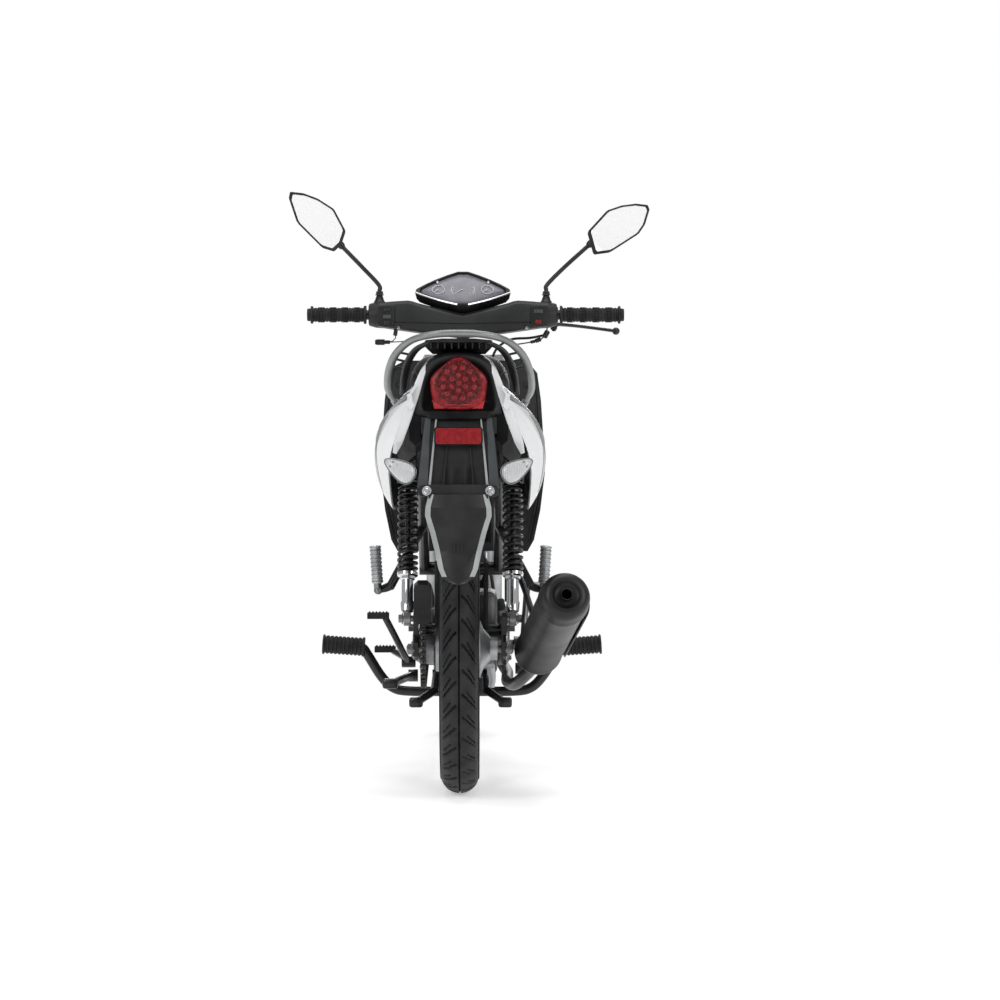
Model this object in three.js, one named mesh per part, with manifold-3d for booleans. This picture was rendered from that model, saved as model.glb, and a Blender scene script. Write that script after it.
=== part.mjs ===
// Moped scooter with an underbone frame, in millimetres: +X is the rider's right, +Y is forward, +Z is up.
// The origin is on the ground under the middle of the rear tyre.
import * as THREE from 'three';
import { ConvexGeometry } from 'three/addons/geometries/ConvexGeometry.js';
import { RoundedBoxGeometry } from 'three/addons/geometries/RoundedBoxGeometry.js';
import { mergeVertices } from 'three/addons/utils/BufferGeometryUtils.js';
import Module from 'manifold-3d';

const wasm = await Module();
wasm.setup();

// Driving dimensions
const WHEELBASE = 1220;
const REAR_TYRE = { radius: 286, width: 75 };
const FRONT_TYRE = { radius: 279, width: 65 };
const TREAD_FLAT = 8; // half width of the flat band that stands on the ground
const WHEEL_SIDES = 32;
const RIM_RADIUS = 228;
const GAP = 0.4; // clearance between neighbouring pieces
const RAKE = THREE.MathUtils.degToRad(26.5);
const TRAIL = 75;
const FORK_HALF_WIDTH = 70;
const BAR_HEIGHT = 969;
const BAR_Y = 790;
const BAR_RADIUS = 11;
const GRIP_RADIUS = 15.5;
const COVER_HALF_WIDTH = 188;
const RAIL_X = 78;
const ARM_X = 88; // middle of each swingarm arm
const SHOCK_X = 105;
const SHOCK_TOP = [105, 622]; // Y and Z of the upper shock bolt
const SHOCK_FOOT = [15, 344]; // Y and Z of the lower shock bolt
const SWING_PIVOT = [425, 300];
const CHAIN_X = -72;
const FRONT_SPROCKET = { y: 475, z: 290, radius: 25 };
const REAR_SPROCKET_RADIUS = 66;

// The lowest facet of a wheel lies flat on the ground, so its axle is a little under one radius up.
const axleHeight = (radius) => radius * Math.cos(Math.PI / WHEEL_SIDES);
const REAR_AXLE_Z = axleHeight(REAR_TYRE.radius);
const FRONT_AXLE_Z = axleHeight(FRONT_TYRE.radius);
const steerY = (z) => WHEELBASE + TRAIL - z * Math.tan(RAKE);
const forkY = (z) => WHEELBASE - (z - FRONT_AXLE_Z) * Math.tan(RAKE);

// Colour, roughness and metalness of each finish
const finish = (color, roughness, metalness = 0) =>
  new THREE.MeshStandardMaterial({ color, roughness, metalness });
const FINISH = {
  blackPaint: finish(0x17181a, 0.4, 0.2),
  blackPlastic: finish(0x1c1d1f, 0.6),
  greyPlastic: finish(0x3a3d41, 0.55),
  whitePaint: finish(0xe9ebec, 0.25),
  rubber: finish(0x151515, 0.85),
  chrome: finish(0xd8dadc, 0.12, 1),
  aluminium: finish(0x9b9ea2, 0.4, 0.9),
  steel: finish(0x76797d, 0.35, 0.9),
  redLens: finish(0xa3081a, 0.15),
  clearLens: finish(0xdfe4e6, 0.1),
  vinyl: finish(0x1b1b1d, 0.7),
};

const moped = new THREE.Group();

// Basic solids ---------------------------------------------------------------
const v = (x, y, z) => new THREE.Vector3(x, y, z);

// Turns a geometry that stands along +Y so that it runs from one point to another.
function aim(geometry, from, to) {
  const direction = to.clone().sub(from);
  const turn = new THREE.Quaternion().setFromUnitVectors(v(0, 1, 0), direction.clone().normalize());
  geometry.applyQuaternion(turn);
  const middle = from.clone().add(to).multiplyScalar(0.5);
  return geometry.translate(middle.x, middle.y, middle.z);
}

function rod(from, to, radius, sides = 12, endRadius = radius) {
  const length = from.distanceTo(to);
  return aim(new THREE.CylinderGeometry(endRadius, radius, length, sides), from, to);
}

function block(x0, x1, y0, y1, z0, z1) {
  const shape = new THREE.BoxGeometry(x1 - x0, y1 - y0, z1 - z0);
  return shape.translate((x0 + x1) / 2, (y0 + y1) / 2, (z0 + z1) / 2);
}

function roundedBlock(x0, x1, y0, y1, z0, z1, radius) {
  const shape = new RoundedBoxGeometry(x1 - x0, y1 - y0, z1 - z0, 1, radius);
  return shape.translate((x0 + x1) / 2, (y0 + y1) / 2, (z0 + z1) / 2);
}

const hull = (points) => new ConvexGeometry(points.map((p) => v(...p)));

// A solid of revolution about the line along X through (y, z). The profile holds [radius, x] pairs, in either order.
function spun(profile, y, z, sides = WHEEL_SIDES) {
  const points = profile.map(([r, x]) => new THREE.Vector2(r, x));
  if (THREE.ShapeUtils.area(points) < 0) points.reverse();
  const shape = new THREE.LatheGeometry(points, sides);
  shape.rotateY(Math.PI / sides);
  shape.rotateZ(-Math.PI / 2);
  return shape.translate(0, y, z);
}

// A round tube along a smooth line through the points.
function pipe(points, radius, steps = 12, sides = 10) {
  const section = new THREE.Shape();
  section.absarc(0, 0, radius, 0, 2 * Math.PI);
  const extrudePath = new THREE.CatmullRomCurve3(points.map((p) => v(...p)));
  return new THREE.ExtrudeGeometry(section, { steps, curveSegments: sides / 2, extrudePath });
}

// A plate with an outline in the YZ plane, from x0 to x1.
function plate(outline, x0, x1, hole) {
  const shape = new THREE.Shape(outline.map(([y, z]) => new THREE.Vector2(y, z)));
  if (hole) shape.holes.push(new THREE.Path(hole.map(([y, z]) => new THREE.Vector2(y, z))));
  const body = new THREE.ExtrudeGeometry(shape, { depth: x1 - x0, bevelEnabled: false });
  body.applyMatrix4(new THREE.Matrix4().makeBasis(v(0, 1, 0), v(0, 0, 1), v(1, 0, 0)));
  return body.translate(x0, 0, 0);
}

// Joining and cutting --------------------------------------------------------
function toSolid(geometry) {
  const bare = geometry.clone();
  bare.deleteAttribute('normal');
  bare.deleteAttribute('uv');
  const merged = mergeVertices(bare, 1e-3);
  const mesh = new wasm.Mesh({
    numProp: 3,
    vertProperties: merged.attributes.position.array,
    triVerts: new Uint32Array(merged.index.array),
  });
  return new wasm.Manifold(mesh);
}

function toGeometry(solid) {
  const mesh = solid.getMesh();
  const geometry = new THREE.BufferGeometry();
  geometry.setAttribute('position', new THREE.BufferAttribute(mesh.vertProperties, 3));
  geometry.setIndex(new THREE.BufferAttribute(mesh.triVerts, 1));
  geometry.computeVertexNormals();
  return geometry;
}

const join = (...shapes) => toGeometry(shapes.map(toSolid).reduce((a, b) => a.add(b)));
const cut = (shape, ...tools) => toGeometry(tools.map(toSolid).reduce((a, b) => a.subtract(b), toSolid(shape)));

function add(name, geometry, material) {
  const mesh = new THREE.Mesh(geometry, material);
  mesh.name = name;
  moped.add(mesh);
}

// Both sides of the moped: +1 is right and -1 is left.
function bothSides(make) {
  make('left', -1);
  make('right', 1);
}

// Wheels ---------------------------------------------------------------------
function addTyre(name, { radius, width }, y, z) {
  const half = width / 2;
  const bead = RIM_RADIUS + GAP;
  const profile = [
    [bead, -18], [bead + 14, -half + 3], [radius - 28, -half], [radius - 12, -half + 8],
    [radius, -TREAD_FLAT], [radius, TREAD_FLAT], [radius - 12, half - 8], [radius - 28, half],
    [bead + 14, half - 3], [bead, 18], [bead, -18],
  ];
  add(name, spun(profile, y, z), FINISH.rubber);
}

// A cast wheel: a rim ring, a hub drum with an axle bore, and six spokes.
function addRim(name, y, z, hubHalf, boreRadius) {
  const ring = spun([
    [RIM_RADIUS, -19], [RIM_RADIUS, 19], [RIM_RADIUS - 16, 19], [RIM_RADIUS - 22, 10],
    [RIM_RADIUS - 22, -10], [RIM_RADIUS - 16, -19], [RIM_RADIUS, -19],
  ], y, z);
  const hub = spun([
    [boreRadius, -hubHalf], [boreRadius, hubHalf], [58, hubHalf], [64, hubHalf - 8],
    [64, -hubHalf + 8], [58, -hubHalf], [boreRadius, -hubHalf],
  ], y, z, 24);
  const spokes = [];
  for (let i = 0; i < 6; i++) {
    const angle = (i + 0.5) * Math.PI / 3;
    const spoke = block(-11, 11, -13, 13, 58, RIM_RADIUS - 18);
    spokes.push(spoke.rotateX(angle).translate(0, y, z));
  }
  add(name, join(ring, hub, ...spokes), FINISH.aluminium);
}

function addAxle(name, y, z, half, radius) {
  const nut = (x) => rod(v(x - 5, y, z), v(x + 5, y, z), radius + 5, 6);
  const shaft = rod(v(-half, y, z), v(half, y, z), radius, 16);
  add(name, join(shaft, nut(half - 5), nut(5 - half)), FINISH.steel);
}

addTyre('rear_tyre', REAR_TYRE, 0, REAR_AXLE_Z);
addRim('rear_rim', 0, REAR_AXLE_Z, 34, 8);
addAxle('rear_axle', 0, REAR_AXLE_Z, 106, 7);
addTyre('front_tyre', FRONT_TYRE, WHEELBASE, FRONT_AXLE_Z);
addRim('front_rim', WHEELBASE, FRONT_AXLE_Z, 30, 7);
addAxle('front_axle', WHEELBASE, FRONT_AXLE_Z, 100, 6);

// Chain drive ----------------------------------------------------------------
function sprocket(y, z, radius, bore, sides) {
  const half = 3.5;
  return spun([
    [bore, CHAIN_X - half], [bore, CHAIN_X + half], [radius, CHAIN_X + half],
    [radius, CHAIN_X - half], [bore, CHAIN_X - half],
  ], y, z, sides);
}

// The outline of a belt round both sprockets, at a distance outside their rims.
function beltOutline(offset) {
  const rear = { y: 0, z: REAR_AXLE_Z, radius: REAR_SPROCKET_RADIUS + offset };
  const front = { y: FRONT_SPROCKET.y, z: FRONT_SPROCKET.z, radius: FRONT_SPROCKET.radius + offset };
  const tilt = Math.atan2(front.z - rear.z, front.y - rear.y);
  const wrap = Math.acos((rear.radius - front.radius) / Math.hypot(front.y - rear.y, front.z - rear.z));
  const points = [];
  const arc = (circle, from, to, steps) => {
    for (let i = 0; i <= steps; i++) {
      const angle = from + (to - from) * i / steps;
      points.push([circle.y + circle.radius * Math.cos(angle), circle.z + circle.radius * Math.sin(angle)]);
    }
  };
  arc(front, tilt - wrap, tilt + wrap, 10);
  arc(rear, tilt + wrap, tilt + 2 * Math.PI - wrap, 16);
  return points;
}

function addChainDrive() {
  const spacer = spun([[8, -70], [8, -34.4], [30, -34.4], [30, -70], [8, -70]], 0, REAR_AXLE_Z, 20);
  add('rear_sprocket', join(sprocket(0, REAR_AXLE_Z, REAR_SPROCKET_RADIUS, 8, 32), spacer), FINISH.steel);
  const front = FRONT_SPROCKET;
  add('front_sprocket', sprocket(front.y, front.z, front.radius, 9.5, 16), FINISH.steel);
  const half = 5.5;
  add('drive_chain', plate(beltOutline(12), CHAIN_X - half, CHAIN_X + half, beltOutline(2.5)), FINISH.steel);
}
addChainDrive();

// Frame ----------------------------------------------------------------------
const HEAD_LOW = 668;
const HEAD_HIGH = 790;
const steerPoint = (z) => v(0, steerY(z), z);
const BACKBONE = [[0, 925, 690], [0, 690, 480], [0, 425, 425]];

function addFrame() {
  const head = rod(steerPoint(HEAD_LOW), steerPoint(HEAD_HIGH), 24, 16);
  const headBore = rod(steerPoint(HEAD_LOW - 20), steerPoint(HEAD_HIGH + 20), 15, 16);
  const backbone = rod(v(...BACKBONE[0]), v(...BACKBONE[1]), 19);
  const spine = rod(v(...BACKBONE[1]), v(...BACKBONE[2]), 19);
  const elbow = new THREE.SphereGeometry(19, 12, 8).translate(...BACKBONE[1]);
  const cross = rod(v(-RAIL_X - 11, 425, 425), v(RAIL_X + 11, 425, 425), 14);
  const rear = rod(v(-RAIL_X, -190, 702), v(RAIL_X, -190, 702), 10);
  const tank = rod(v(-RAIL_X, 345, 652), v(RAIL_X, 345, 652), 8);
  const parts = [backbone, spine, elbow, cross, rear, tank];
  for (const side of [-1, 1]) {
    const x = side * RAIL_X;
    const nodes = [[x, 425, 425], [x, SHOCK_TOP[0], SHOCK_TOP[1]], [x, -60, 690], [x, -200, 702]];
    nodes.slice(1).forEach((p, i) => parts.push(rod(v(...nodes[i]), v(...p), 11)));
    parts.push(new THREE.SphereGeometry(11, 10, 6).translate(...nodes[1]));
    parts.push(new THREE.SphereGeometry(11, 10, 6).translate(...nodes[2]));
    parts.push(rod(v(x, ...SHOCK_TOP), v(side * (SHOCK_X + 13), ...SHOCK_TOP), 7));
    parts.push(rod(v(x, 345, 477), v(x, 345, 658), 8));
    parts.push(block(Math.min(side * 46, side * 56), Math.max(side * 46, side * 56), 352, 446, 218, 440));
    parts.push(rod(v(x, 265, 520), v(side * 144, 178, 398), 9));
  }
  parts.push(rod(v(-112, ...SWING_PIVOT), v(112, ...SWING_PIVOT), 8, 16));
  add('frame', cut(join(head, ...parts), headBore), FINISH.blackPaint);
}
addFrame();

// Swingarm, chain guard and shock absorbers ------------------------------------
function addSwingarm() {
  const [py, pz] = SWING_PIVOT;
  const parts = [];
  for (const side of [-1, 1]) {
    const x0 = Math.min(side * (ARM_X - 6), side * (ARM_X + 6));
    parts.push(plate([
      [-30, REAR_AXLE_Z - 14], [60, REAR_AXLE_Z - 18], [py - 30, pz - 24], [py + 20, pz - 16],
      [py + 24, pz], [py + 20, pz + 16], [py - 30, pz + 24], [40, REAR_AXLE_Z + 32],
      [15, SHOCK_FOOT[1] + 14], [-5, SHOCK_FOOT[1] + 8], [-30, REAR_AXLE_Z + 16],
    ], x0, x0 + 12));
    parts.push(rod(v(side * ARM_X, ...SHOCK_FOOT), v(side * (SHOCK_X + 13), ...SHOCK_FOOT), 6.5, 16));
  }
  parts.push(rod(v(-ARM_X, 322, 290), v(ARM_X, 322, 290), 12));
  const pivotBore = rod(v(-120, py, pz), v(120, py, pz), 8.5, 16);
  const axleBore = rod(v(-120, 0, REAR_AXLE_Z), v(120, 0, REAR_AXLE_Z), 7.5, 16);
  add('swingarm', cut(join(...parts), pivotBore, axleBore), FINISH.blackPaint);
  add('chain_guard', hull([
    [-90, -95, 372], [-56, -95, 372], [-90, -70, 424], [-56, -70, 424],
    [-90, 300, 352], [-56, 300, 352], [-90, 300, 384], [-56, 300, 384],
  ]), FINISH.blackPlastic);
}
addSwingarm();

const shockFoot = (side) => v(side * SHOCK_X, ...SHOCK_FOOT);
const shockTop = (side) => v(side * SHOCK_X, ...SHOCK_TOP);
const alongShock = (side, share) => shockFoot(side).lerp(shockTop(side), share);

// The damper rod of the upper half slides in the bore of the lower half.
function addShock(name, side) {
  const at = (share) => alongShock(side, share);
  const eye = ([y, z], bore) => cut(
    rod(v(side * SHOCK_X - 7.5, y, z), v(side * SHOCK_X + 7.5, y, z), 14, 16),
    rod(v(side * SHOCK_X - 9, y, z), v(side * SHOCK_X + 9, y, z), bore, 16),
  );
  const upperCap = rod(at(0.93), at(0.955), 21, 16);
  const upperNeck = rod(at(0.93), at(0.965), 9);
  const damperRod = rod(at(0.34), at(0.95), 5);
  add('shock_upper_' + name, join(eye(SHOCK_TOP, 7.5), upperCap, upperNeck, damperRod), FINISH.blackPaint);
  const lowerBody = cut(rod(at(0.04), at(0.5), 11, 16), rod(at(0.1), at(0.51), 5.6));
  const lowerSeat = cut(rod(at(0.295), at(0.32), 21, 16), rod(at(0.29), at(0.33), 8));
  add('shock_lower_' + name, join(eye(SHOCK_FOOT, 7.7), lowerBody, lowerSeat), FINISH.chrome);
  const spring = cut(rod(at(0.324), at(0.926), 21, 16), rod(at(0.31), at(0.94), 12.5));
  add('shock_spring_' + name, spring, FINISH.blackPaint);
}
bothSides(addShock);

// Engine, exhaust and footrests ------------------------------------------------
const CRANK = [600, 270];
const KICK_SHAFT = [500, 262];

function addEngine() {
  const [cy, cz] = CRANK;
  const crankcase = roundedBlock(-60, 75, 455, 665, 196, 372, 14);
  const cylinder = rod(v(5, 660, 300), v(5, 800, 306), 52, 16);
  const fins = [0, 1, 2, 3].map((i) => roundedBlock(-54, 64, 690 + i * 24, 699 + i * 24, 244, 362, 3));
  const headBlock = roundedBlock(-48, 58, 792, 862, 252, 356, 12);
  const hanger = block(-20, 20, 600, 640, 360, 440);
  const chainShaft = rod(v(-50, FRONT_SPROCKET.y, FRONT_SPROCKET.z), v(-80, FRONT_SPROCKET.y, FRONT_SPROCKET.z), 9, 16);
  const kickShaft = rod(v(70, ...KICK_SHAFT), v(126, ...KICK_SHAFT), 8, 16);
  add('engine_block', join(crankcase, cylinder, ...fins, headBlock, hanger, chainShaft, kickShaft), FINISH.aluminium);
  add('flywheel_cover', spun([[0, -60 - GAP], [62, -60 - GAP], [62, -88], [54, -96], [0, -96]], cy, cz, 24),
    FINISH.aluminium);
  const clutch = spun([[0, 75 + GAP], [66, 75 + GAP], [66, 94], [56, 102], [0, 102]], cy + 4, cz + 4, 24);
  add('clutch_cover', clutch, FINISH.aluminium);
}
addEngine();

function addExhaust() {
  const route = [[60, 838, 247], [88, 800, 195], [97, 700, 187], [97, 420, 187], [112, 250, 196], [146, 118, 236]];
  add('exhaust_pipe', pipe(route, 13, 20), FINISH.blackPaint);
  const cone = rod(v(148, 112, 242), v(155, 64, 274), 20, 20, 46);
  const can = rod(v(155, 64, 274), v(201, -385, 411), 48, 20);
  const cap = rod(v(200.5, -380, 409.5), v(202.5, -402, 416), 47, 20, 34);
  const outlet = rod(v(202, -395, 414), v(204, -430, 424.5), 10, 12);
  add('muffler', cut(join(cone, can, cap), outlet), FINISH.blackPaint);
}
addExhaust();

const PEG_Y = 500;
const FOOT_BAR_Z = 159;

function addFootrests() {
  const parts = [rod(v(-200, PEG_Y, FOOT_BAR_Z), v(200, PEG_Y, FOOT_BAR_Z), 10.5)];
  for (const side of [-1, 1]) {
    const knee = [side * 214, PEG_Y, 252];
    parts.push(new THREE.SphereGeometry(10.5, 10, 6).translate(side * 200, PEG_Y, FOOT_BAR_Z));
    parts.push(rod(v(side * 200, PEG_Y, FOOT_BAR_Z), v(...knee), 10.5));
    parts.push(rod(v(side * 205, PEG_Y, 254), v(side * 296, PEG_Y, 260), 17, 12));
    parts.push(block(Math.min(side * 20, side * 46), Math.max(side * 20, side * 46), 486, 514, 165, 195.6));
  }
  add('footrest_bar', join(...parts), FINISH.blackPaint);
}
addFootrests();

// A passenger footrest, folded up against its bracket.
bothSides((name, side) => {
  const hub = rod(v(side * 160, 156, 392), v(side * 160, 174, 392), 6);
  const bar = rod(v(side * 162, 165, 392), v(side * 173, 150, 482), 9);
  add('passenger_peg_' + name, join(hub.translate(side * 8, 0, 0), bar), FINISH.blackPlastic);
});

// Pedals and stands -------------------------------------------------------------
function addPedals() {
  const padOf = (x, y, z) => roundedBlock(x - 24, x + 24, y - 11, y + 11, z - 8, z + 8, 4);
  add('gear_pedal', join(
    rod(v(-100, 560, 218), v(-130, 560, 218), 12), rod(v(-124, 560, 218), v(-150, 640, 236), 7),
    rod(v(-124, 560, 218), v(-162, 432, 322), 7), padOf(-168, 646, 240), padOf(-176, 428, 326),
  ), FINISH.steel);
  add('brake_pedal', join(
    rod(v(113, 455, 212), v(130, 455, 212), 12), rod(v(124, 455, 212), v(140, 640, 216), 7),
    padOf(160, 646, 222),
  ), FINISH.steel);
  const [ky, kz] = KICK_SHAFT;
  const hub = cut(rod(v(110, ky, kz), v(136, ky, kz), 15, 16), rod(v(100, ky, kz), v(127, ky, kz), 8.5, 16));
  const arm = rod(v(131, ky + 8, kz + 12), v(140, ky + 88, kz + 120), 7);
  const tread = rod(v(134, ky + 86, kz + 118), v(196, ky + 86, kz + 118), 9);
  add('kick_starter', join(hub, arm, tread), FINISH.chrome);
}
addPedals();

const STAND_PIVOT = [385, 206];
const SIDE_STAND_PIVOT = [415, 200];

function addStands() {
  const [py, pz] = STAND_PIVOT;
  const parts = [rod(v(-61, py, pz), v(61, py, pz), 9)];
  for (const side of [-1, 1]) {
    parts.push(rod(v(side * 52, py, pz), v(side * 54, 215, 184), 8.5));
    parts.push(rod(v(side * 54, 218, 184), v(side * 88, 128, 168), 8.5));
    parts.push(roundedBlock(side * 90 - 14, side * 90 + 14, 112, 140, 158, 178, 5));
  }
  add('centre_stand', join(...parts), FINISH.blackPaint);
  const [sy, sz] = SIDE_STAND_PIVOT;
  add('side_stand', join(
    rod(v(-92, sy, sz), v(-112, sy, sz), 13), rod(v(-106, sy, sz), v(-140, 205, 200), 8.5),
    roundedBlock(-160, -128, 186, 214, 190, 210, 5),
  ), FINISH.blackPaint);
}
addStands();

// Bodywork ----------------------------------------------------------------------
// A side panel bulges out between the seat and the rail: a wide middle, and a slim blade to the tail.
bothSides((name, side) => {
  const middle = [
    [131, 470, 600], [131, 470, 730], [131, 300, 560], [131, 60, 640], [131, -40, 660], [131, 60, 740],
    [131, -60, 745], [140, 460, 610], [140, 460, 715], [166, 260, 640], [166, 40, 665], [160, 260, 700],
    [160, 0, 720], [150, 300, 566], [152, -60, 690],
  ];
  const blade = [
    [110, -40, 680], [110, -40, 738], [146, -40, 670], [148, -40, 738], [99, -330, 742], [99, -330, 764],
    [106, -330, 742], [104, -330, 762], [131, -20, 680], [131, -20, 738],
  ];
  const toSide = (points) => hull(points.map(([x, y, z]) => [side * x, y, z]));
  add('side_panel_' + name, join(toSide(middle), toSide(blade)), FINISH.whitePaint);
});

const TAIL_END = -310;

function addTail() {
  const housing = hull([
    [-92, TAIL_END, 740], [92, TAIL_END, 740], [-62, TAIL_END, 852], [62, TAIL_END, 852],
    [-94, -212, 736], [94, -212, 736], [-94, -212, 800], [94, -212, 800], [-66, -212, 862], [66, -212, 862],
  ]);
  const pocket = roundedBlock(-75, 75, -300, -200, 720, 832, 10);
  add('tail_housing', cut(housing, pocket), FINISH.greyPlastic);
  const lens = new THREE.Shape();
  [[-38, 756], [38, 756], [54, 800], [50, 826], [24, 857], [-24, 857], [-50, 826], [-54, 800]]
    .forEach(([x, z], i) => (i ? lens.lineTo(x, z) : lens.moveTo(x, z)));
  const glass = new THREE.ExtrudeGeometry(lens, {
    depth: 14, bevelThickness: 5, bevelSize: 4, bevelOffset: -4, bevelSegments: 2,
  });
  add('tail_light', glass.rotateX(Math.PI / 2).translate(0, TAIL_END - 5 - GAP, 0), FINISH.redLens);
}
addTail();

// The rail hoops round the back of the seat above the tail light.
function addGrabRail() {
  const half = [[-133, 60, 776], [-138, -100, 806], [-130, -230, 850], [-88, -318, 888], [0, -345, 900]];
  const otherHalf = half.slice(0, -1).reverse().map(([x, y, z]) => [-x, y, z]);
  const hoop = pipe([...half, ...otherHalf], 9, 32);
  const webs = [-1, 1].map((side) => hull([
    [side * 104, -286, 858], [side * 50, -330, 880], [side * 104, -296, 872], [side * 50, -342, 896],
    [side * 100, -262, 866], [side * 50, -280, 880], [side * 100, -262, 874], [side * 50, -280, 890],
  ]));
  const bridge = roundedBlock(-56, 56, -345, -268, 876, 896, 5);
  add('grab_rail', join(hoop, ...webs, bridge), FINISH.aluminium);
}
addGrabRail();

// The rear mudguard: a shield behind the wheel, a plate bracket across it, and a tapering flap.
function addRearFender() {
  const shield = hull([
    [-66, -318, 736], [66, -318, 736], [-78, -352, 606], [78, -352, 606],
    [-66, -300, 736], [66, -300, 736], [-78, -330, 606], [78, -330, 606],
    [-60, -356, 700], [60, -356, 700],
  ]);
  const flap = hull([
    [-62, -380, 598], [62, -380, 598], [-63, -392, 560], [63, -392, 560], [-35, -430, 450], [35, -430, 450],
    [-62, -374, 598], [62, -374, 598], [-35, -422, 450], [35, -422, 450], [0, -434, 430], [0, -427, 430],
  ]);
  const neck = hull([
    [-62, -345, 618], [62, -345, 618], [-62, -345, 585], [62, -345, 585],
    [-62, -382, 598], [62, -382, 598], [-62, -382, 585], [62, -382, 585],
  ]);
  const bracket = roundedBlock(-76, 76, -384, -370, 596, 618, 3);
  const reflector = roundedBlock(-43, 43, -368, -350, 695, 725, 3);
  const liner = hull([
    [-60, -310, 734], [60, -310, 734], [-60, -120, 722], [60, -120, 722],
    [-60, -310, 726], [60, -310, 726], [-60, -120, 714], [60, -120, 714],
  ]);
  add('rear_fender', join(shield, flap, neck, bracket, reflector, liner), FINISH.blackPlastic);
}
addRearFender();

bothSides((name, side) => {
  const at = (x, y, z) => [side * x, y, z];
  add('indicator_rear_' + name, hull([
    at(80, -356, 636), at(80, -356, 654), at(80, -326, 640), at(136, -352, 660), at(138, -330, 668),
    at(132, -322, 650), at(110, -368, 628), at(112, -366, 660), at(112, -326, 664), at(108, -330, 626),
  ]), FINISH.clearLens);
});

// The seat is one cushion with a dip for the rider and a raised back for the passenger.
function addSeat() {
  const outline = new THREE.Shape();
  outline.moveTo(-196, 752);
  outline.lineTo(470, 746);
  outline.quadraticCurveTo(494, 752, 478, 782);
  outline.bezierCurveTo(400, 800, 330, 786, 250, 790);
  outline.bezierCurveTo(170, 800, 170, 846, 90, 850);
  outline.bezierCurveTo(0, 858, -110, 862, -180, 864);
  outline.quadraticCurveTo(-206, 860, -206, 800);
  const width = 186;
  const bevel = 8;
  const cushion = new THREE.ExtrudeGeometry(outline, {
    depth: width, curveSegments: 5, bevelThickness: bevel, bevelSize: bevel, bevelOffset: -bevel, bevelSegments: 2,
  });
  cushion.applyMatrix4(new THREE.Matrix4().makeBasis(v(0, 1, 0), v(0, 0, 1), v(1, 0, 0)));
  add('seat', cushion.translate(-width / 2, 0, 0), FINISH.vinyl);
}
addSeat();
add('fuel_tank', join(roundedBlock(-64, 64, 70, 330, 646, 724, 12), rod(v(0, 200, 720), v(0, 200, 738), 27, 16)),
  FINISH.steel);

// The leg shield stands behind the front wheel, with a hole for the backbone tube.
function addLegShield() {
  const shield = hull([
    [-140, 800, 868], [140, 800, 868], [-166, 790, 840], [166, 790, 840], [-180, 755, 620], [180, 755, 620],
    [-150, 720, 450], [150, 720, 450], [-140, 778, 868], [140, 778, 868], [-166, 766, 840], [166, 766, 840],
    [-180, 732, 620], [180, 732, 620], [-150, 700, 450], [150, 700, 450],
  ]);
  const direction = v(...BACKBONE[0]).sub(v(...BACKBONE[1]));
  const low = v(...BACKBONE[1]).addScaledVector(direction, -0.3);
  const passage = rod(low, v(...BACKBONE[0]), 21);
  add('leg_shield', cut(shield, passage, new THREE.SphereGeometry(21, 12, 8).translate(...BACKBONE[1])),
    FINISH.blackPlastic);
  add('front_cowl', hull([
    [-112, 990, 700], [112, 990, 700], [0, 1050, 690], [-120, 930, 800], [120, 930, 800],
    [0, 1022, 790], [-90, 905, 880], [90, 905, 880], [0, 960, 882],
    [-112, 978, 704], [112, 978, 704], [0, 1034, 690],
  ].map(([x, y, z]) => [x, y + 22, z])), FINISH.whitePaint);
}
addLegShield();

// Front fork and mudguard -------------------------------------------------------
// A point on the fork leg's line, at a distance up the leg from the axle.
function forkPoint(side, distance) {
  const z = FRONT_AXLE_Z + distance * Math.cos(RAKE);
  return v(side * FORK_HALF_WIDTH, forkY(z), z);
}

const CROWN = 408; // distance up the leg from the axle to the crown
const LOWER_LEG = 232;

function addFork() {
  const parts = [];
  for (const side of [-1, 1]) {
    parts.push(rod(forkPoint(side, 122), forkPoint(side, CROWN + 8), 13, 16));
    parts.push(rod(forkPoint(side, CROWN - 14), forkPoint(side, CROWN + 12), 20, 16));
  }
  const crownZ = forkPoint(1, CROWN).z;
  const crown = roundedBlock(-74, 74, -34, 90, -11, 11, 6);
  crown.rotateX(RAKE).translate(0, steerY(crownZ) + 20, crownZ - 6);
  const steerer = rod(steerPoint(crownZ - 8), steerPoint(928), 14, 16);
  add('fork_crown', join(...parts, crown, steerer), FINISH.blackPaint);

  bothSides((name, side) => {
    const leg = rod(forkPoint(side, -22), forkPoint(side, LOWER_LEG), 18, 16);
    const bore = rod(forkPoint(side, 40), forkPoint(side, LOWER_LEG + 5), 13.6, 16);
    const axleBore = rod(v(side * 40, WHEELBASE, FRONT_AXLE_Z), v(side * 110, WHEELBASE, FRONT_AXLE_Z), 6.5, 16);
    add('fork_leg_' + name, cut(leg, bore, axleBore), FINISH.greyPlastic);
  });
}
addFork();

// A curved guard over the front tyre, with side plates that reach the fork legs.
function addFrontFender() {
  const arcBand = (inner, outer, x0, x1) => {
    const from = THREE.MathUtils.degToRad(20);
    const to = THREE.MathUtils.degToRad(178);
    const steps = 16;
    const ring = (radius, i) => {
      const angle = from + (to - from) * i / steps;
      return [WHEELBASE + radius * Math.cos(angle), FRONT_AXLE_Z + radius * Math.sin(angle)];
    };
    const indexes = [...Array(steps + 1).keys()];
    return plate([...indexes.map((i) => ring(outer, i)), ...indexes.reverse().map((i) => ring(inner, i))], x0, x1);
  };
  const roof = arcBand(291, 296, -48, 48);
  const skirts = [arcBand(256, 294, -51, -47), arcBand(256, 294, 47, 51)];
  add('front_fender', join(roof, ...skirts), FINISH.whitePaint);
}
addFrontFender();

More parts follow.
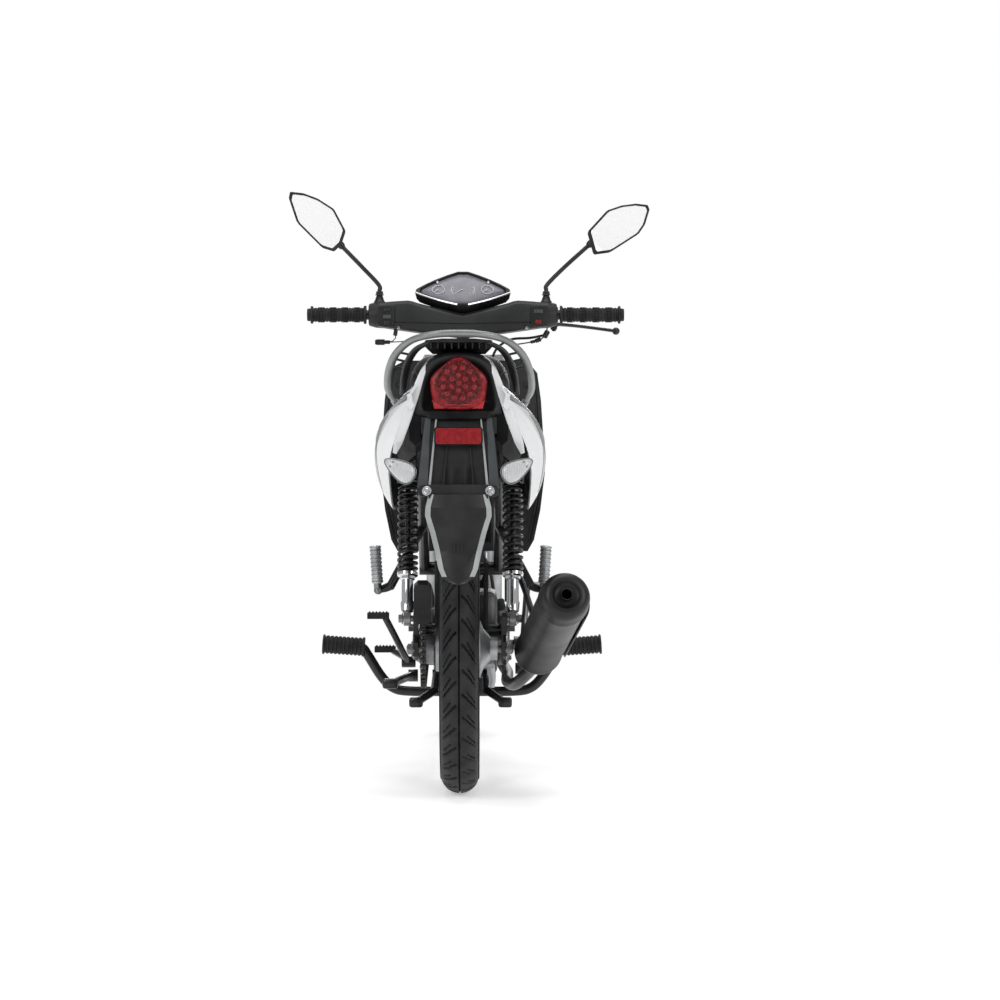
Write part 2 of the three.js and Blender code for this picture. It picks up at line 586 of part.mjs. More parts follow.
// Handlebar, its cover and the dials ----------------------------------------------
const LEVER_PIVOT = [202, 842, 950];

function barShape(clearance) {
  const bar = rod(v(-326 - clearance, BAR_Y, BAR_HEIGHT), v(336 + clearance, BAR_Y, BAR_HEIGHT), BAR_RADIUS + clearance, 16);
  const stem = block(-20 - clearance, 20 + clearance, BAR_Y - 6 - clearance, 846 + clearance,
    937 - clearance, BAR_HEIGHT + 12 + clearance);
  return [bar, stem];
}

function addHandlebar() {
  const [lx, ly, lz] = LEVER_PIVOT;
  const perch = block(192, 211, BAR_Y - 4, 822, 936, BAR_HEIGHT + 6);
  const jaws = [block(194, 210, 818, 851, lz + 8, lz + 12), block(194, 210, 818, 851, lz - 12, lz - 8)];
  const pin = rod(v(lx, ly, lz - 12), v(lx, ly, lz + 12), 3, 12);
  add('handlebar', join(...barShape(0), perch, ...jaws, pin), FINISH.blackPaint);

  const hub = cut(rod(v(lx, ly, lz - 7.5), v(lx, ly, lz + 7.5), 9, 16), rod(v(lx, ly, lz - 9), v(lx, ly, lz + 9), 3.4, 12));
  const blade = rod(v(lx + 6, ly + 1, lz), v(336, 866, 936), 6, 10, 5);
  const ball = new THREE.SphereGeometry(8.5, 10, 6).translate(341, 867, 935);
  add('brake_lever', join(hub, blade, ball), FINISH.steel);
}
addHandlebar();

function addGrip(name, side, open, closed) {
  const inner = BAR_RADIUS + GAP;
  const profile = [
    [inner, open], [20, open], [20, open + 5], [GRIP_RADIUS, open + 8], [GRIP_RADIUS, closed - 9],
    [20, closed - 8], [20, closed - 4], [13, closed], [0, closed],
  ];
  const bottom = [[0, side > 0 ? 338 : 328], [inner, side > 0 ? 338 : 328], [inner, open]];
  const points = [...profile, ...bottom].map(([r, x]) => [r, side * x]);
  add(name, spun(points, BAR_Y, BAR_HEIGHT, 20), FINISH.rubber);
}
addGrip('grip_left', -1, 213, 344);
addGrip('throttle_grip', 1, 214, 356);

function clusterShape(grow) {
  const front = [[0, 812, 1069], [-107, 786, 1020], [107, 786, 1020], [0, 732, 984], [-96, 778, 1012], [96, 778, 1012]];
  const back = [[0, 836, 1052], [-92, 812, 1004], [92, 812, 1004], [0, 762, 972]];
  const middle = v(0, 786, 1016);
  return hull([...front, ...back].map((p) => {
    const point = v(...p);
    return point.add(point.clone().sub(middle).normalize().multiplyScalar(grow)).toArray();
  }));
}

// Each button: its name, centre X and Z, half width and half height on the cover's rear face.
const BUTTONS = [
  ['starter_button', 166, 952, 7, 5], ['horn_button', -166, 950, 7, 5], ['turn_switch', -166, 978, 8, 4],
];
const BUTTON_TRAVEL = 2.5;
const COVER_REAR = 736;

function addCover() {
  const W = COVER_HALF_WIDTH;
  const shell = hull([
    [-W, COVER_REAR, 940], [W, COVER_REAR, 940], [-W, COVER_REAR, 996], [W, COVER_REAR, 996],
    [-W, 820, 944], [W, 820, 944], [-W, 820, 992], [W, 820, 992],
    [-90, COVER_REAR, 915], [90, COVER_REAR, 915], [-110, 860, 920], [110, 860, 920],
    [-100, 862, 1004], [100, 862, 1004], [0, 872, 1014], [-100, COVER_REAR, 1006], [100, COVER_REAR, 1006],
  ]);
  const pockets = BUTTONS.map(([name, x, z, halfX, halfZ]) => {
    const room = name === 'turn_switch' ? 4 : 0.5;
    return block(x - halfX - room, x + halfX + room, COVER_REAR - 10, COVER_REAR + 7, z - halfZ - 0.5, z + halfZ + 0.5);
  });
  const steererHole = rod(steerPoint(880), steerPoint(941), 15, 16);
  const lampPocket = roundedBlock(-71, 71, 846, 900, 931, 993, 8);
  add('handlebar_cover', cut(shell, ...barShape(GAP), clusterShape(0.5), steererHole, lampPocket, ...pockets),
    FINISH.greyPlastic);
  add('instrument_cluster', clusterShape(0), FINISH.blackPlastic);
  add('headlight', roundedBlock(-70, 70, 847, 884, 932, 992, 8), FINISH.clearLens);
  for (const [name, x, z, halfX, halfZ] of BUTTONS) {
    add(name, roundedBlock(x - halfX, x + halfX, COVER_REAR - 3, COVER_REAR + 7 - BUTTON_TRAVEL - 0.6, z - halfZ, z + halfZ, 1),
      name === 'starter_button' ? FINISH.redLens : FINISH.greyPlastic);
  }
}
addCover();

// Each mirror: the centre of its glass, and how far its stem leans out.
const MIRRORS = { left: [-320, 1174], right: [343, 1156] };
bothSides((name, side) => {
  const [mx, mz] = MIRRORS[name];
  const footX = side * 184;
  const outline = [[-62, -16], [-40, 22], [2, 40], [62, 44], [68, 30], [52, -20], [6, -46], [-44, -44]];
  const head = hull(outline.flatMap(([a, b]) => [
    [mx + side * a, 786, mz + b], [mx + side * a, 794, mz + b], [mx + side * a * 0.8, 806, mz + b * 0.8],
  ]));
  const foot = rod(v(footX, BAR_Y, 997), v(footX, BAR_Y, 1010), 10, 12, 6);
  const stem = rod(v(footX, BAR_Y, 1006), v(footX, BAR_Y, 1034), 5, 10);
  const bend = new THREE.SphereGeometry(5, 10, 6).translate(footX, BAR_Y, 1034);
  const arm = rod(v(footX, BAR_Y, 1034), v(mx - side * 40, 800, mz - 28), 5, 10);
  add('mirror_' + name, join(head, foot, stem, bend, arm), FINISH.blackPlastic);
});

// The front brake cable runs from the lever's perch, past the head tube, to the front hub.
const BRAKE_CABLE = [
  [184, 838, 926], [166, 866, 898], [130, 905, 884], [112, 962, 800], [104, 1070, 640],
  [98, 1165, 480], [97, 1195, 380], [97, 1200, 312],
];
add('front_brake_cable', pipe(BRAKE_CABLE, 3, 26, 8), FINISH.rubber);

export default moped;
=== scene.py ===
"""Moped scooter: the looks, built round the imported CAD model. Everything is in metres in the CAD's own frame:
+X is the rider's right, +Y is forward, +Z is up, and the origin is on the ground under the rear tyre."""

import math

import bmesh
import bpy
from mathutils import Matrix, Vector


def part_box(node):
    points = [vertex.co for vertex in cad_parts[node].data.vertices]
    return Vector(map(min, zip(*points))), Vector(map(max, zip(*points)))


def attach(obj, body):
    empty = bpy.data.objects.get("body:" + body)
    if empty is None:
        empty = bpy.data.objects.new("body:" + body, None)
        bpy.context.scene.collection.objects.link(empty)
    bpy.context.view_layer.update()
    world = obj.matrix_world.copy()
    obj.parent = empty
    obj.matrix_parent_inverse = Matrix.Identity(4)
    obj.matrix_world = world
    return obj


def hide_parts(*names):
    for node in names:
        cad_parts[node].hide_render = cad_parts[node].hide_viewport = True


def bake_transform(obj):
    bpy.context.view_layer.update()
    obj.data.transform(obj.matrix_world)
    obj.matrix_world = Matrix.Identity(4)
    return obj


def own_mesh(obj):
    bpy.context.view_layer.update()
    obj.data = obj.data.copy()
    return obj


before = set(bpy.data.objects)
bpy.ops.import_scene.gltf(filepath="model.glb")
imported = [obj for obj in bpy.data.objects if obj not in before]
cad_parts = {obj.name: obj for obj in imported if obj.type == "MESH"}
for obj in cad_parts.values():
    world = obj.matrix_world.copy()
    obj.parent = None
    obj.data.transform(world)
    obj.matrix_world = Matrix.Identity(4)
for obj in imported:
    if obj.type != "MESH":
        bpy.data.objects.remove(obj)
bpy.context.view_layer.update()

MM = 0.001
RAKE = math.radians(26.5)


def mm(x, y, z):
    """A point given in millimetres, in metres."""
    return Vector((x, y, z)) * MM


def middle(node):
    """The middle of a CAD node's box."""
    low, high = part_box(node)
    return (low + high) / 2


REAR_AXLE = middle("rear_axle")
FRONT_AXLE = middle("front_axle")
BAR_Y, BAR_Z = 0.79, 0.969


# Camera, light and floor ----------------------------------------------------
def add_camera():
    """A long lens straight behind the moped, a little above the grab rail."""
    camera = bpy.data.objects.new("camera", bpy.data.cameras.new("camera"))
    camera.data.lens = 121.9
    camera.data.sensor_width = 36
    camera.data.clip_end = 100
    camera.location = (0.055, -6.7, 0.75)
    camera.rotation_euler = (math.radians(90 - 1.455), 0, math.radians(-0.206))
    bpy.context.scene.collection.objects.link(camera)
    bpy.context.scene.camera = camera


def add_light(name, location, target, size, power):
    """A rectangular soft box that faces its target."""
    data = bpy.data.lights.new(name, "AREA")
    data.shape = "RECTANGLE"
    data.size, data.size_y = size
    data.energy = power
    light = bpy.data.objects.new(name, data)
    light.location = location
    light.rotation_euler = (Vector(target) - Vector(location)).to_track_quat("-Z", "Y").to_euler()
    bpy.context.scene.collection.objects.link(light)


def fade_to_white(material, shader):
    """Shaded floor near the moped that turns into plain white further out, so that no horizon shows."""
    nodes, links = material.node_tree.nodes, material.node_tree.links
    place = nodes.new("ShaderNodeTexCoord")
    reach = nodes.new("ShaderNodeVectorMath")
    reach.operation = "LENGTH"
    share = nodes.new("ShaderNodeMapRange")
    share.inputs["From Min"].default_value = 1.2
    share.inputs["From Max"].default_value = 2.6
    glow = nodes.new("ShaderNodeEmission")
    glow.inputs["Strength"].default_value = 1.0
    mix = nodes.new("ShaderNodeMixShader")
    links.new(place.outputs["Object"], reach.inputs[0])
    links.new(reach.outputs["Value"], share.inputs["Value"])
    links.new(share.outputs["Result"], mix.inputs["Fac"])
    links.new(shader.outputs["BSDF"], mix.inputs[1])
    links.new(glow.outputs["Emission"], mix.inputs[2])
    links.new(mix.outputs["Shader"], nodes["Material Output"].inputs["Surface"])


def add_studio():
    """A white floor under the moped, soft boxes on both sides, overhead and in front, and a pale world."""
    world = bpy.data.worlds.new("studio")
    bpy.context.scene.world = world
    world.use_nodes = True
    nodes, links = world.node_tree.nodes, world.node_tree.links
    background = nodes["Background"]
    background.inputs["Color"].default_value = (1, 1, 1, 1)
    rays = nodes.new("ShaderNodeLightPath")
    strength = nodes.new("ShaderNodeMapRange")
    strength.inputs["To Min"].default_value = 0.42
    strength.inputs["To Max"].default_value = 1.0
    links.new(rays.outputs["Is Camera Ray"], strength.inputs["Value"])
    links.new(strength.outputs["Result"], background.inputs["Strength"])
    bpy.context.scene.view_settings.view_transform = "Standard"

    bm = bmesh.new()
    bmesh.ops.create_grid(bm, x_segments=2, y_segments=2, size=15)
    data = bpy.data.meshes.new("floor")
    bm.to_mesh(data)
    bm.free()
    floor = bpy.data.objects.new("floor", data)
    bpy.context.scene.collection.objects.link(floor)
    pale = bpy.data.materials.new("floor_white")
    pale.use_nodes = True
    shader = pale.node_tree.nodes["Principled BSDF"]
    shader.inputs["Base Color"].default_value = (0.95, 0.95, 0.95, 1)
    shader.inputs["Roughness"].default_value = 0.9
    shader.inputs["Specular IOR Level"].default_value = 0.0
    shader.inputs["Emission Color"].default_value = (1, 1, 1, 1)
    shader.inputs["Emission Strength"].default_value = 0.38
    fade_to_white(pale, shader)
    floor.data.materials.append(pale)

    add_light("key_left", (-2.6, -3.2, 2.6), (0, 0, 0.6), (1.6, 2.2), 60)
    add_light("key_right", (2.8, -2.8, 2.2), (0, 0, 0.6), (1.2, 2.2), 48)
    add_light("overhead", (0, 0.3, 3.6), (0, 0.3, 0), (2.5, 3.5), 60)
    add_light("front", (0.5, 4.5, 2.0), (0, 0.6, 0.7), (2.5, 2.0), 50)


# Materials -------------------------------------------------------------------
class Material:
    """A Principled material with helpers that add one layer of detail each."""

    def __init__(self, name, color, roughness, metallic=0.0, coat=0.0, shine=0.5):
        """Sets the plain values. shine is the strength of the clear reflection."""
        self.data = bpy.data.materials.new(name)
        self.data.use_nodes = True
        self.nodes = self.data.node_tree.nodes
        self.links = self.data.node_tree.links
        self.shader = self.nodes["Principled BSDF"]
        self.color = color
        self.roughness = roughness
        self.shader.inputs["Base Color"].default_value = (*color, 1)
        self.shader.inputs["Roughness"].default_value = roughness
        self.shader.inputs["Metallic"].default_value = metallic
        self.shader.inputs["Coat Weight"].default_value = coat
        self.shader.inputs["Specular IOR Level"].default_value = shine
        self.shader.inputs["Coat Roughness"].default_value = 0.08
        self.place = self.nodes.new("ShaderNodeTexCoord").outputs["Object"]
        self.bump_from = None

    def noise(self, scale, detail=4.0):
        """The factor of a noise texture in the piece's own space."""
        texture = self.nodes.new("ShaderNodeTexNoise")
        texture.inputs["Scale"].default_value = scale
        texture.inputs["Detail"].default_value = detail
        self.links.new(self.place, texture.inputs["Vector"])
        return texture.outputs["Fac"]

    def ramp(self, value, low, high, color_low, color_high):
        """A colour that runs between two others with a value."""
        ramp = self.nodes.new("ShaderNodeValToRGB")
        ramp.color_ramp.elements[0].position = low
        ramp.color_ramp.elements[1].position = high
        ramp.color_ramp.elements[0].color = (*color_low, 1)
        ramp.color_ramp.elements[1].color = (*color_high, 1)
        self.links.new(value, ramp.inputs["Fac"])
        return ramp.outputs["Color"]

    def mottle(self, scale, amount, tint=None):
        """Colour drifts between the base colour and a lighter or tinted one."""
        lighter = tint or tuple(min(1.0, c * (1 + amount) + amount * 0.02) for c in self.color)
        darker = tuple(c * (1 - amount) for c in self.color)
        self.links.new(self.ramp(self.noise(scale), 0.35, 0.7, darker, lighter),
                       self.shader.inputs["Base Color"])
        return self

    def patchy_gloss(self, scale, amount):
        """Roughness drifts round its set value, as on handled or dusty surfaces."""
        spread = self.nodes.new("ShaderNodeMapRange")
        spread.inputs["To Min"].default_value = max(0.02, self.roughness - amount)
        spread.inputs["To Max"].default_value = min(1.0, self.roughness + amount)
        self.links.new(self.noise(scale), spread.inputs["Value"])
        self.links.new(spread.outputs["Result"], self.shader.inputs["Roughness"])
        return self

    def bump(self, height, strength, distance):
        """Adds one bump layer on top of those before it."""
        node = self.nodes.new("ShaderNodeBump")
        node.inputs["Strength"].default_value = strength
        node.inputs["Distance"].default_value = distance
        self.links.new(height, node.inputs["Height"])
        if self.bump_from:
            self.links.new(self.bump_from, node.inputs["Normal"])
        self.bump_from = node.outputs["Normal"]
        self.links.new(self.bump_from, self.shader.inputs["Normal"])
        return self

    def grain(self, scale, strength=0.3, distance=0.0004):
        """A bump of fine noise, like moulding texture."""
        return self.bump(self.noise(scale, 6.0), strength, distance)

    def cells(self, scale, strength, distance, feature="DISTANCE_TO_EDGE"):
        """A bump of small cells, like leather grain or a moulded prism pattern."""
        texture = self.nodes.new("ShaderNodeTexVoronoi")
        texture.feature = feature
        texture.inputs["Scale"].default_value = scale
        self.links.new(self.place, texture.inputs["Vector"])
        return self.bump(texture.outputs["Distance"], strength, distance)

    def waves(self, scale, axis, strength, distance):
        """A bump of straight ribs across an axis."""
        texture = self.nodes.new("ShaderNodeTexWave")
        texture.wave_type = "BANDS"
        texture.bands_direction = axis
        texture.inputs["Scale"].default_value = scale
        self.links.new(self.place, texture.inputs["Vector"])
        return self.bump(texture.outputs["Fac"], strength, distance)


def make_materials():
    """Every finish on the moped, by name."""
    made = {}

    def new(name, color, roughness, metallic=0.0, coat=0.0, shine=0.5, **layers):
        material = Material(name, color, roughness, metallic, coat, shine)
        for layer, values in layers.items():
            getattr(material, layer)(*values)
        made[name] = material

    new("white_gloss", (0.62, 0.63, 0.64), 0.22, coat=0.5,
        mottle=(9, 0.015), patchy_gloss=(30, 0.05), grain=(260, 0.04, 0.0002))
    new("grey_graphic", (0.09, 0.095, 0.10), 0.25, coat=0.5,
        mottle=(40, 0.1), patchy_gloss=(60, 0.05), grain=(300, 0.04, 0.0002))
    new("silver_graphic", (0.27, 0.28, 0.29), 0.28, coat=0.5,
        mottle=(60, 0.08), patchy_gloss=(60, 0.05), grain=(300, 0.05, 0.0002))
    new("black_paint", (0.008, 0.008, 0.0085), 0.33, coat=0.15, shine=0.35,
        mottle=(25, 0.3), patchy_gloss=(35, 0.09), grain=(500, 0.08, 0.0003))
    new("black_plastic", (0.009, 0.009, 0.0095), 0.46, shine=0.32,
        mottle=(18, 0.35), patchy_gloss=(45, 0.1), grain=(1500, 0.35, 0.0003))
    new("deep_black", (0.004, 0.004, 0.004), 0.7, shine=0.15,
        mottle=(20, 0.4), patchy_gloss=(30, 0.1), grain=(900, 0.3, 0.0004))
    new("grey_plastic", (0.013, 0.0135, 0.0145), 0.44, shine=0.35,
        mottle=(16, 0.2), patchy_gloss=(40, 0.08), grain=(1500, 0.35, 0.0003))
    new("side_strip", (0.045, 0.050, 0.053), 0.5, shine=0.4,
        mottle=(30, 0.15), patchy_gloss=(40, 0.08), grain=(900, 0.25, 0.0003))
    # A pale grey that is a painted highlight: the shine on the mudguard's side strips and on the mud flap's
    # bevelled edges.
    new("painted_highlight_grey", (0.30, 0.315, 0.315), 0.45,
        mottle=(30, 0.1), patchy_gloss=(40, 0.08), grain=(900, 0.2, 0.0003))
    new("tyre", (0.010, 0.010, 0.0105), 0.6, shine=0.3,
        mottle=(28, 0.4, (0.020, 0.0195, 0.019)), patchy_gloss=(60, 0.12), grain=(700, 0.35, 0.0005))
    new("rubber", (0.008, 0.008, 0.008), 0.6, shine=0.3,
        mottle=(40, 0.35), patchy_gloss=(60, 0.1), grain=(1200, 0.3, 0.0003))
    new("muffler_black", (0.008, 0.008, 0.0085), 0.4, shine=0.35,
        mottle=(14, 0.5, (0.016, 0.0155, 0.015)), patchy_gloss=(22, 0.1), grain=(420, 0.3, 0.0004))
    new("cast_alloy", (0.36, 0.37, 0.38), 0.42, metallic=0.9,
        mottle=(24, 0.2), patchy_gloss=(50, 0.12), grain=(480, 0.4, 0.0005))
    new("engine_alloy", (0.10, 0.10, 0.105), 0.45, metallic=0.8,
        mottle=(24, 0.25), patchy_gloss=(50, 0.12), grain=(480, 0.4, 0.0005))
    new("rail_silver", (0.22, 0.228, 0.23), 0.36, metallic=0.6,
        mottle=(20, 0.12), patchy_gloss=(30, 0.08), grain=(600, 0.15, 0.0003))
    new("wheel_alloy", (0.21, 0.215, 0.22), 0.38, metallic=0.8, coat=0.2,
        mottle=(20, 0.15), patchy_gloss=(40, 0.1), grain=(600, 0.15, 0.0003))
    new("steel", (0.30, 0.30, 0.31), 0.34, metallic=1.0,
        mottle=(60, 0.25, (0.2, 0.19, 0.18)), patchy_gloss=(70, 0.12), grain=(900, 0.2, 0.0003))
    new("chain_steel", (0.10, 0.095, 0.09), 0.42, metallic=0.9,
        mottle=(120, 0.4, (0.05, 0.045, 0.04)), patchy_gloss=(90, 0.15), grain=(900, 0.2, 0.0003))
    new("chrome", (0.72, 0.73, 0.75), 0.1, metallic=1.0,
        mottle=(30, 0.04), patchy_gloss=(60, 0.05), grain=(700, 0.03, 0.0002))
    new("vinyl", (0.009, 0.009, 0.0095), 0.48, shine=0.35,
        mottle=(22, 0.25), patchy_gloss=(30, 0.08), cells=(900, 0.45, 0.0005), grain=(300, 0.1, 0.0006))
    # Near-white glass: a painted reflection of the bright studio, not a colour of the glass itself.
    new("mirror_glass", (0.97, 0.97, 0.97), 0.06, metallic=0.25,
        mottle=(12, 0.01), grain=(8, 0.004, 0.0001))
    new("dial_face", (0.13, 0.125, 0.15), 0.35, coat=0.3,
        mottle=(30, 0.2), patchy_gloss=(40, 0.05), grain=(900, 0.1, 0.0002))
    new("dial_white", (0.62, 0.63, 0.64), 0.5,
        mottle=(60, 0.05), grain=(900, 0.1, 0.0001))
    new("red_button", (0.16, 0.006, 0.006), 0.4, shine=0.3,
        mottle=(80, 0.1), grain=(1200, 0.2, 0.0002))
    new("amber", (0.8, 0.28, 0.02), 0.25,
        mottle=(60, 0.1), grain=(600, 0.2, 0.0003))
    new("reflector_red", (0.22, 0.002, 0.006), 0.2, coat=0.2, shine=0.25,
        mottle=(120, 0.25), cells=(420, 0.6, 0.001))
    new("lens_red", (0.20, 0.001, 0.004), 0.16, coat=0.25, shine=0.25,
        mottle=(110, 0.35), cells=(260, 0.7, 0.0014))
    new("lens_dark_red", (0.055, 0.0005, 0.001), 0.18, coat=0.2, shine=0.2,
        mottle=(150, 0.5, (0.14, 0.001, 0.003)), cells=(220, 0.9, 0.0018))
    new("lens_pink", (0.36, 0.008, 0.014), 0.2, coat=0.3, shine=0.3,
        mottle=(200, 0.3), cells=(500, 0.8, 0.001))
    new("lens_clear", (0.78, 0.80, 0.81), 0.12, coat=1.0,
        mottle=(160, 0.3, (0.5, 0.52, 0.53)), waves=(90, "X", 0.8, 0.0015))
    new("lamp_reflector", (0.8, 0.8, 0.8), 0.12, metallic=1.0,
        mottle=(60, 0.1), waves=(60, "X", 0.6, 0.0015))
    new("cable", (0.007, 0.007, 0.007), 0.45, shine=0.35,
        mottle=(60, 0.3), grain=(1500, 0.2, 0.0002))
    return {name: material.data for name, material in made.items()}


MATERIALS = make_materials()


# Mesh helpers ------------------------------------------------------------------
def finish(name, bm, body, material, stands_for=(), smooth=40, bevel=0.0, levels=0):
    """Makes a piece of a bmesh. smooth is the angle in degrees below which neighbouring faces shade as
    one."""
    bmesh.ops.remove_doubles(bm, verts=bm.verts, dist=1e-6)
    bmesh.ops.recalc_face_normals(bm, faces=bm.faces)
    limit = math.radians(smooth)
    for edge in bm.edges:
        edge.smooth = len(edge.link_faces) == 2 and edge.calc_face_angle(0) < limit
    for face in bm.faces:
        face.smooth = True
    data = bpy.data.meshes.new(name)
    bm.to_mesh(data)
    bm.free()
    piece = bpy.data.objects.new(name, data)
    bpy.context.scene.collection.objects.link(piece)
    names = [material] if isinstance(material, str) else material
    for one in names:
        data.materials.append(MATERIALS[one])
    if bevel:
        edge_bevel = piece.modifiers.new("bevel", "BEVEL")
        edge_bevel.width = bevel
        edge_bevel.segments = 3
        edge_bevel.limit_method = "ANGLE"
        edge_bevel.angle_limit = math.radians(30)
        edge_bevel.harden_normals = True
    if levels:
        fine = piece.modifiers.new("fine", "SUBSURF")
        fine.levels = fine.render_levels = levels
    if body:
        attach(piece, body)
    if stands_for:
        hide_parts(*stands_for)
    return piece


def loft(bm, rings, capped=True, looped=False, material=0):
    """Faces between rings of points that have the same count, closed at both ends or joined end to start."""
    rows = [[bm.verts.new(p) for p in ring] for ring in rings]
    count = len(rows[0])
    pairs = list(zip(rows, rows[1:]))
    if looped:
        pairs.append((rows[-1], rows[0]))
    for a, b in pairs:
        for i in range(count):
            j = (i + 1) % count
            bm.faces.new((a[i], a[j], b[j], b[i])).material_index = material
    if capped and not looped:
        bm.faces.new(rows[0][::-1]).material_index = material
        bm.faces.new(rows[-1]).material_index = material


def basis(direction):
    """Two unit vectors across a direction."""
    direction = direction.normalized()
    helper = Vector((0, 0, 1)) if abs(direction.z) < 0.9 else Vector((0, 1, 0))
    across = direction.cross(helper).normalized()
    return across, direction.cross(across).normalized()


def revolve(bm, start, end, profile, segments=48, material=0):
    """A turned solid about the line from start to end. The profile holds (distance along from start,
    radius) pairs."""
    direction = (end - start).normalized()
    across, up = basis(direction)
    rings = []
    for along, radius in profile:
        radius = max(radius, 1e-5)
        centre = start + direction * along
        rings.append([centre + (across * math.cos(a) + up * math.sin(a)) * radius for a in circle(segments)])
    loft(bm, rings, material=material)


def cylinder(bm, start, end, radius, segments=32, edge=0.0008, material=0):
    """A round bar with small chamfers at both ends."""
    length = (end - start).length
    edge = min(edge, length / 4, radius / 2)
    revolve(bm, start, end, [(0, radius - edge), (edge, radius), (length - edge, radius),
                             (length, radius - edge)], segments, material)


def smooth_between(a, b, c, d, t):
    """The value at t, from 0 to 1, between b and c on a smooth curve through a, b, c and d."""
    return 0.5 * (2 * b + (c - a) * t + (2 * a - 5 * b + 4 * c - d) * t * t + (3 * b - a - 3 * c + d)
                  * t ** 3)


def station_values(stations, u):
    """The numbers at u, from 0 to 1, on a smooth curve through rows of numbers."""
    place = u * (len(stations) - 1)
    k = min(int(place), len(stations) - 2)
    near = [stations[min(max(k + d, 0), len(stations) - 1)] for d in (-1, 0, 1, 2)]
    return [smooth_between(*four, place - k) for four in zip(*near)]


def curve_points(points, steps):
    """Points along a smooth line through the given ones."""
    padded = [points[0] * 2 - points[1], *points, points[-1] * 2 - points[-2]]
    result = []
    for i in range(1, len(padded) - 2):
        for s in range(steps):
            result.append(smooth_between(*padded[i - 1:i + 3], s / steps))
    result.append(points[-1])
    return result


def tube(bm, points, radius, sides=20, steps=10, material=0, squeeze=1.0, up=None):
    """A round or, with squeeze, an oval tube along a smooth line. radius may be one number or one for each
    point."""
    line = curve_points(points, steps)
    radii = radius if isinstance(radius, list) else [radius] * len(points)
    across = None
    rings = []
    for i, point in enumerate(line):
        ahead = (line[min(i + 1, len(line) - 1)] - line[max(i - 1, 0)]).normalized()
        if up is not None:
            across = ahead.cross(up).normalized()
        elif across is None:
            across = basis(ahead)[0]
        else:
            across = (across - ahead * across.dot(ahead)).normalized()
        normal = ahead.cross(across)
        share = i / steps
        low = min(int(share), len(radii) - 1)
        high = min(low + 1, len(radii) - 1)
        size = radii[low] + (radii[high] - radii[low]) * (share - low)
        rings.append([point + (across * math.cos(a) + normal * math.sin(a) * squeeze) * size
                      for a in circle(sides)])
    loft(bm, rings, material=material)


def block(bm, low, high, material=0):
    """A box between two corners."""
    corners = [Vector((x, y, z)) for z in (low[2], high[2])
               for x, y in ((low[0], low[1]), (high[0], low[1]), (high[0], high[1]), (low[0], high[1]))]
    loft(bm, [corners[:4], corners[4:]], material=material)


def prism(bm, outline, place, depth, material=0):
    """A plate: an outline of 2-D points, put in space by place(a, b, d), with d from 0 to depth."""
    loft(bm, [[place(a, b, 0) for a, b in outline], [place(a, b, depth) for a, b in outline]],
         material=material)


def hex_bolt(bm, centre, direction, radius, height, material=0):
    """A bolt head with six sides on a round washer."""
    direction = direction.normalized()
    cylinder(bm, centre, centre + direction * height * 0.25, radius * 1.25, 32, material=material)
    revolve(bm, centre + direction * height * 0.25, centre + direction * height,
            [(0, radius), (height * 0.62, radius), (height * 0.75, radius * 0.86)], 6, material)


def circle(count):
    """Evenly spaced angles of a full turn."""
    return [2 * math.pi * k / count for k in range(count)]


def arc(centre, radius, start, end, count):
    """Points of an arc in a plane, angles in degrees."""
    return [(centre[0] + radius * math.cos(math.radians(start + (end - start) * i / count)),
             centre[1] + radius * math.sin(math.radians(start + (end - start) * i / count)))
            for i in range(count + 1)]


def rounded_outline(centre, reach, radius, steps):
    """A rectangle with round corners. reach holds the distances from its centre to the corner arcs'
    centres."""
    outline = []
    for sx, sz, start in ((1, 1, 0), (-1, 1, 90), (-1, -1, 180), (1, -1, 270)):
        outline += arc((centre[0] + sx * reach[0], centre[1] + sz * reach[1]), radius, start, start + 90,
                       steps)
    return outline


def both_sides(make):
    """Calls make for the left side and then for the right, whose X is positive."""
    make("left", -1)
    make("right", 1)


def dress(node, material, bevel=0.0009):
    """Finishes a CAD node that stays as it is: soft edges, smooth round faces and a material."""
    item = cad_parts[node]
    item.data.materials.clear()
    item.data.materials.append(MATERIALS[material])
    for polygon in item.data.polygons:
        polygon.use_smooth = True
        polygon.material_index = 0
    weld = item.modifiers.new("weld", "WELD")
    weld.merge_threshold = 1e-5
    edges = item.modifiers.new("bevel", "BEVEL")
    edges.width = bevel
    edges.segments = 2
    edges.limit_method = "ANGLE"
    edges.angle_limit = math.radians(32)
    edges.harden_normals = True


# Wheels ---------------------------------------------------------------------------
TREAD_PITCH = 0.048
GROOVE_DEPTH = 0.0042


def groove_depth(x, along, half):
    """How deep the tread is cut at x across and at a length along the tyre: a centre groove and swept side
    grooves."""
    if abs(x) < 0.0021:
        return GROOVE_DEPTH
    reach = abs(x) / half
    shift = 0.052 * reach ** 1.5 + (0.5 * TREAD_PITCH if x > 0 else 0)
    phase = (along - shift) % TREAD_PITCH
    if 0.13 < reach < 0.86 and abs(phase - 0.5 * TREAD_PITCH) < 0.0026:
        return GROOVE_DEPTH * min(1, (0.9 - reach) * 6)
    second = (along - shift * 1.15 + 0.42 * TREAD_PITCH) % TREAD_PITCH
    if 0.42 < reach < 0.8 and abs(second - 0.5 * TREAD_PITCH) < 0.0018:
        return GROOVE_DEPTH * 0.8
    return 0.0


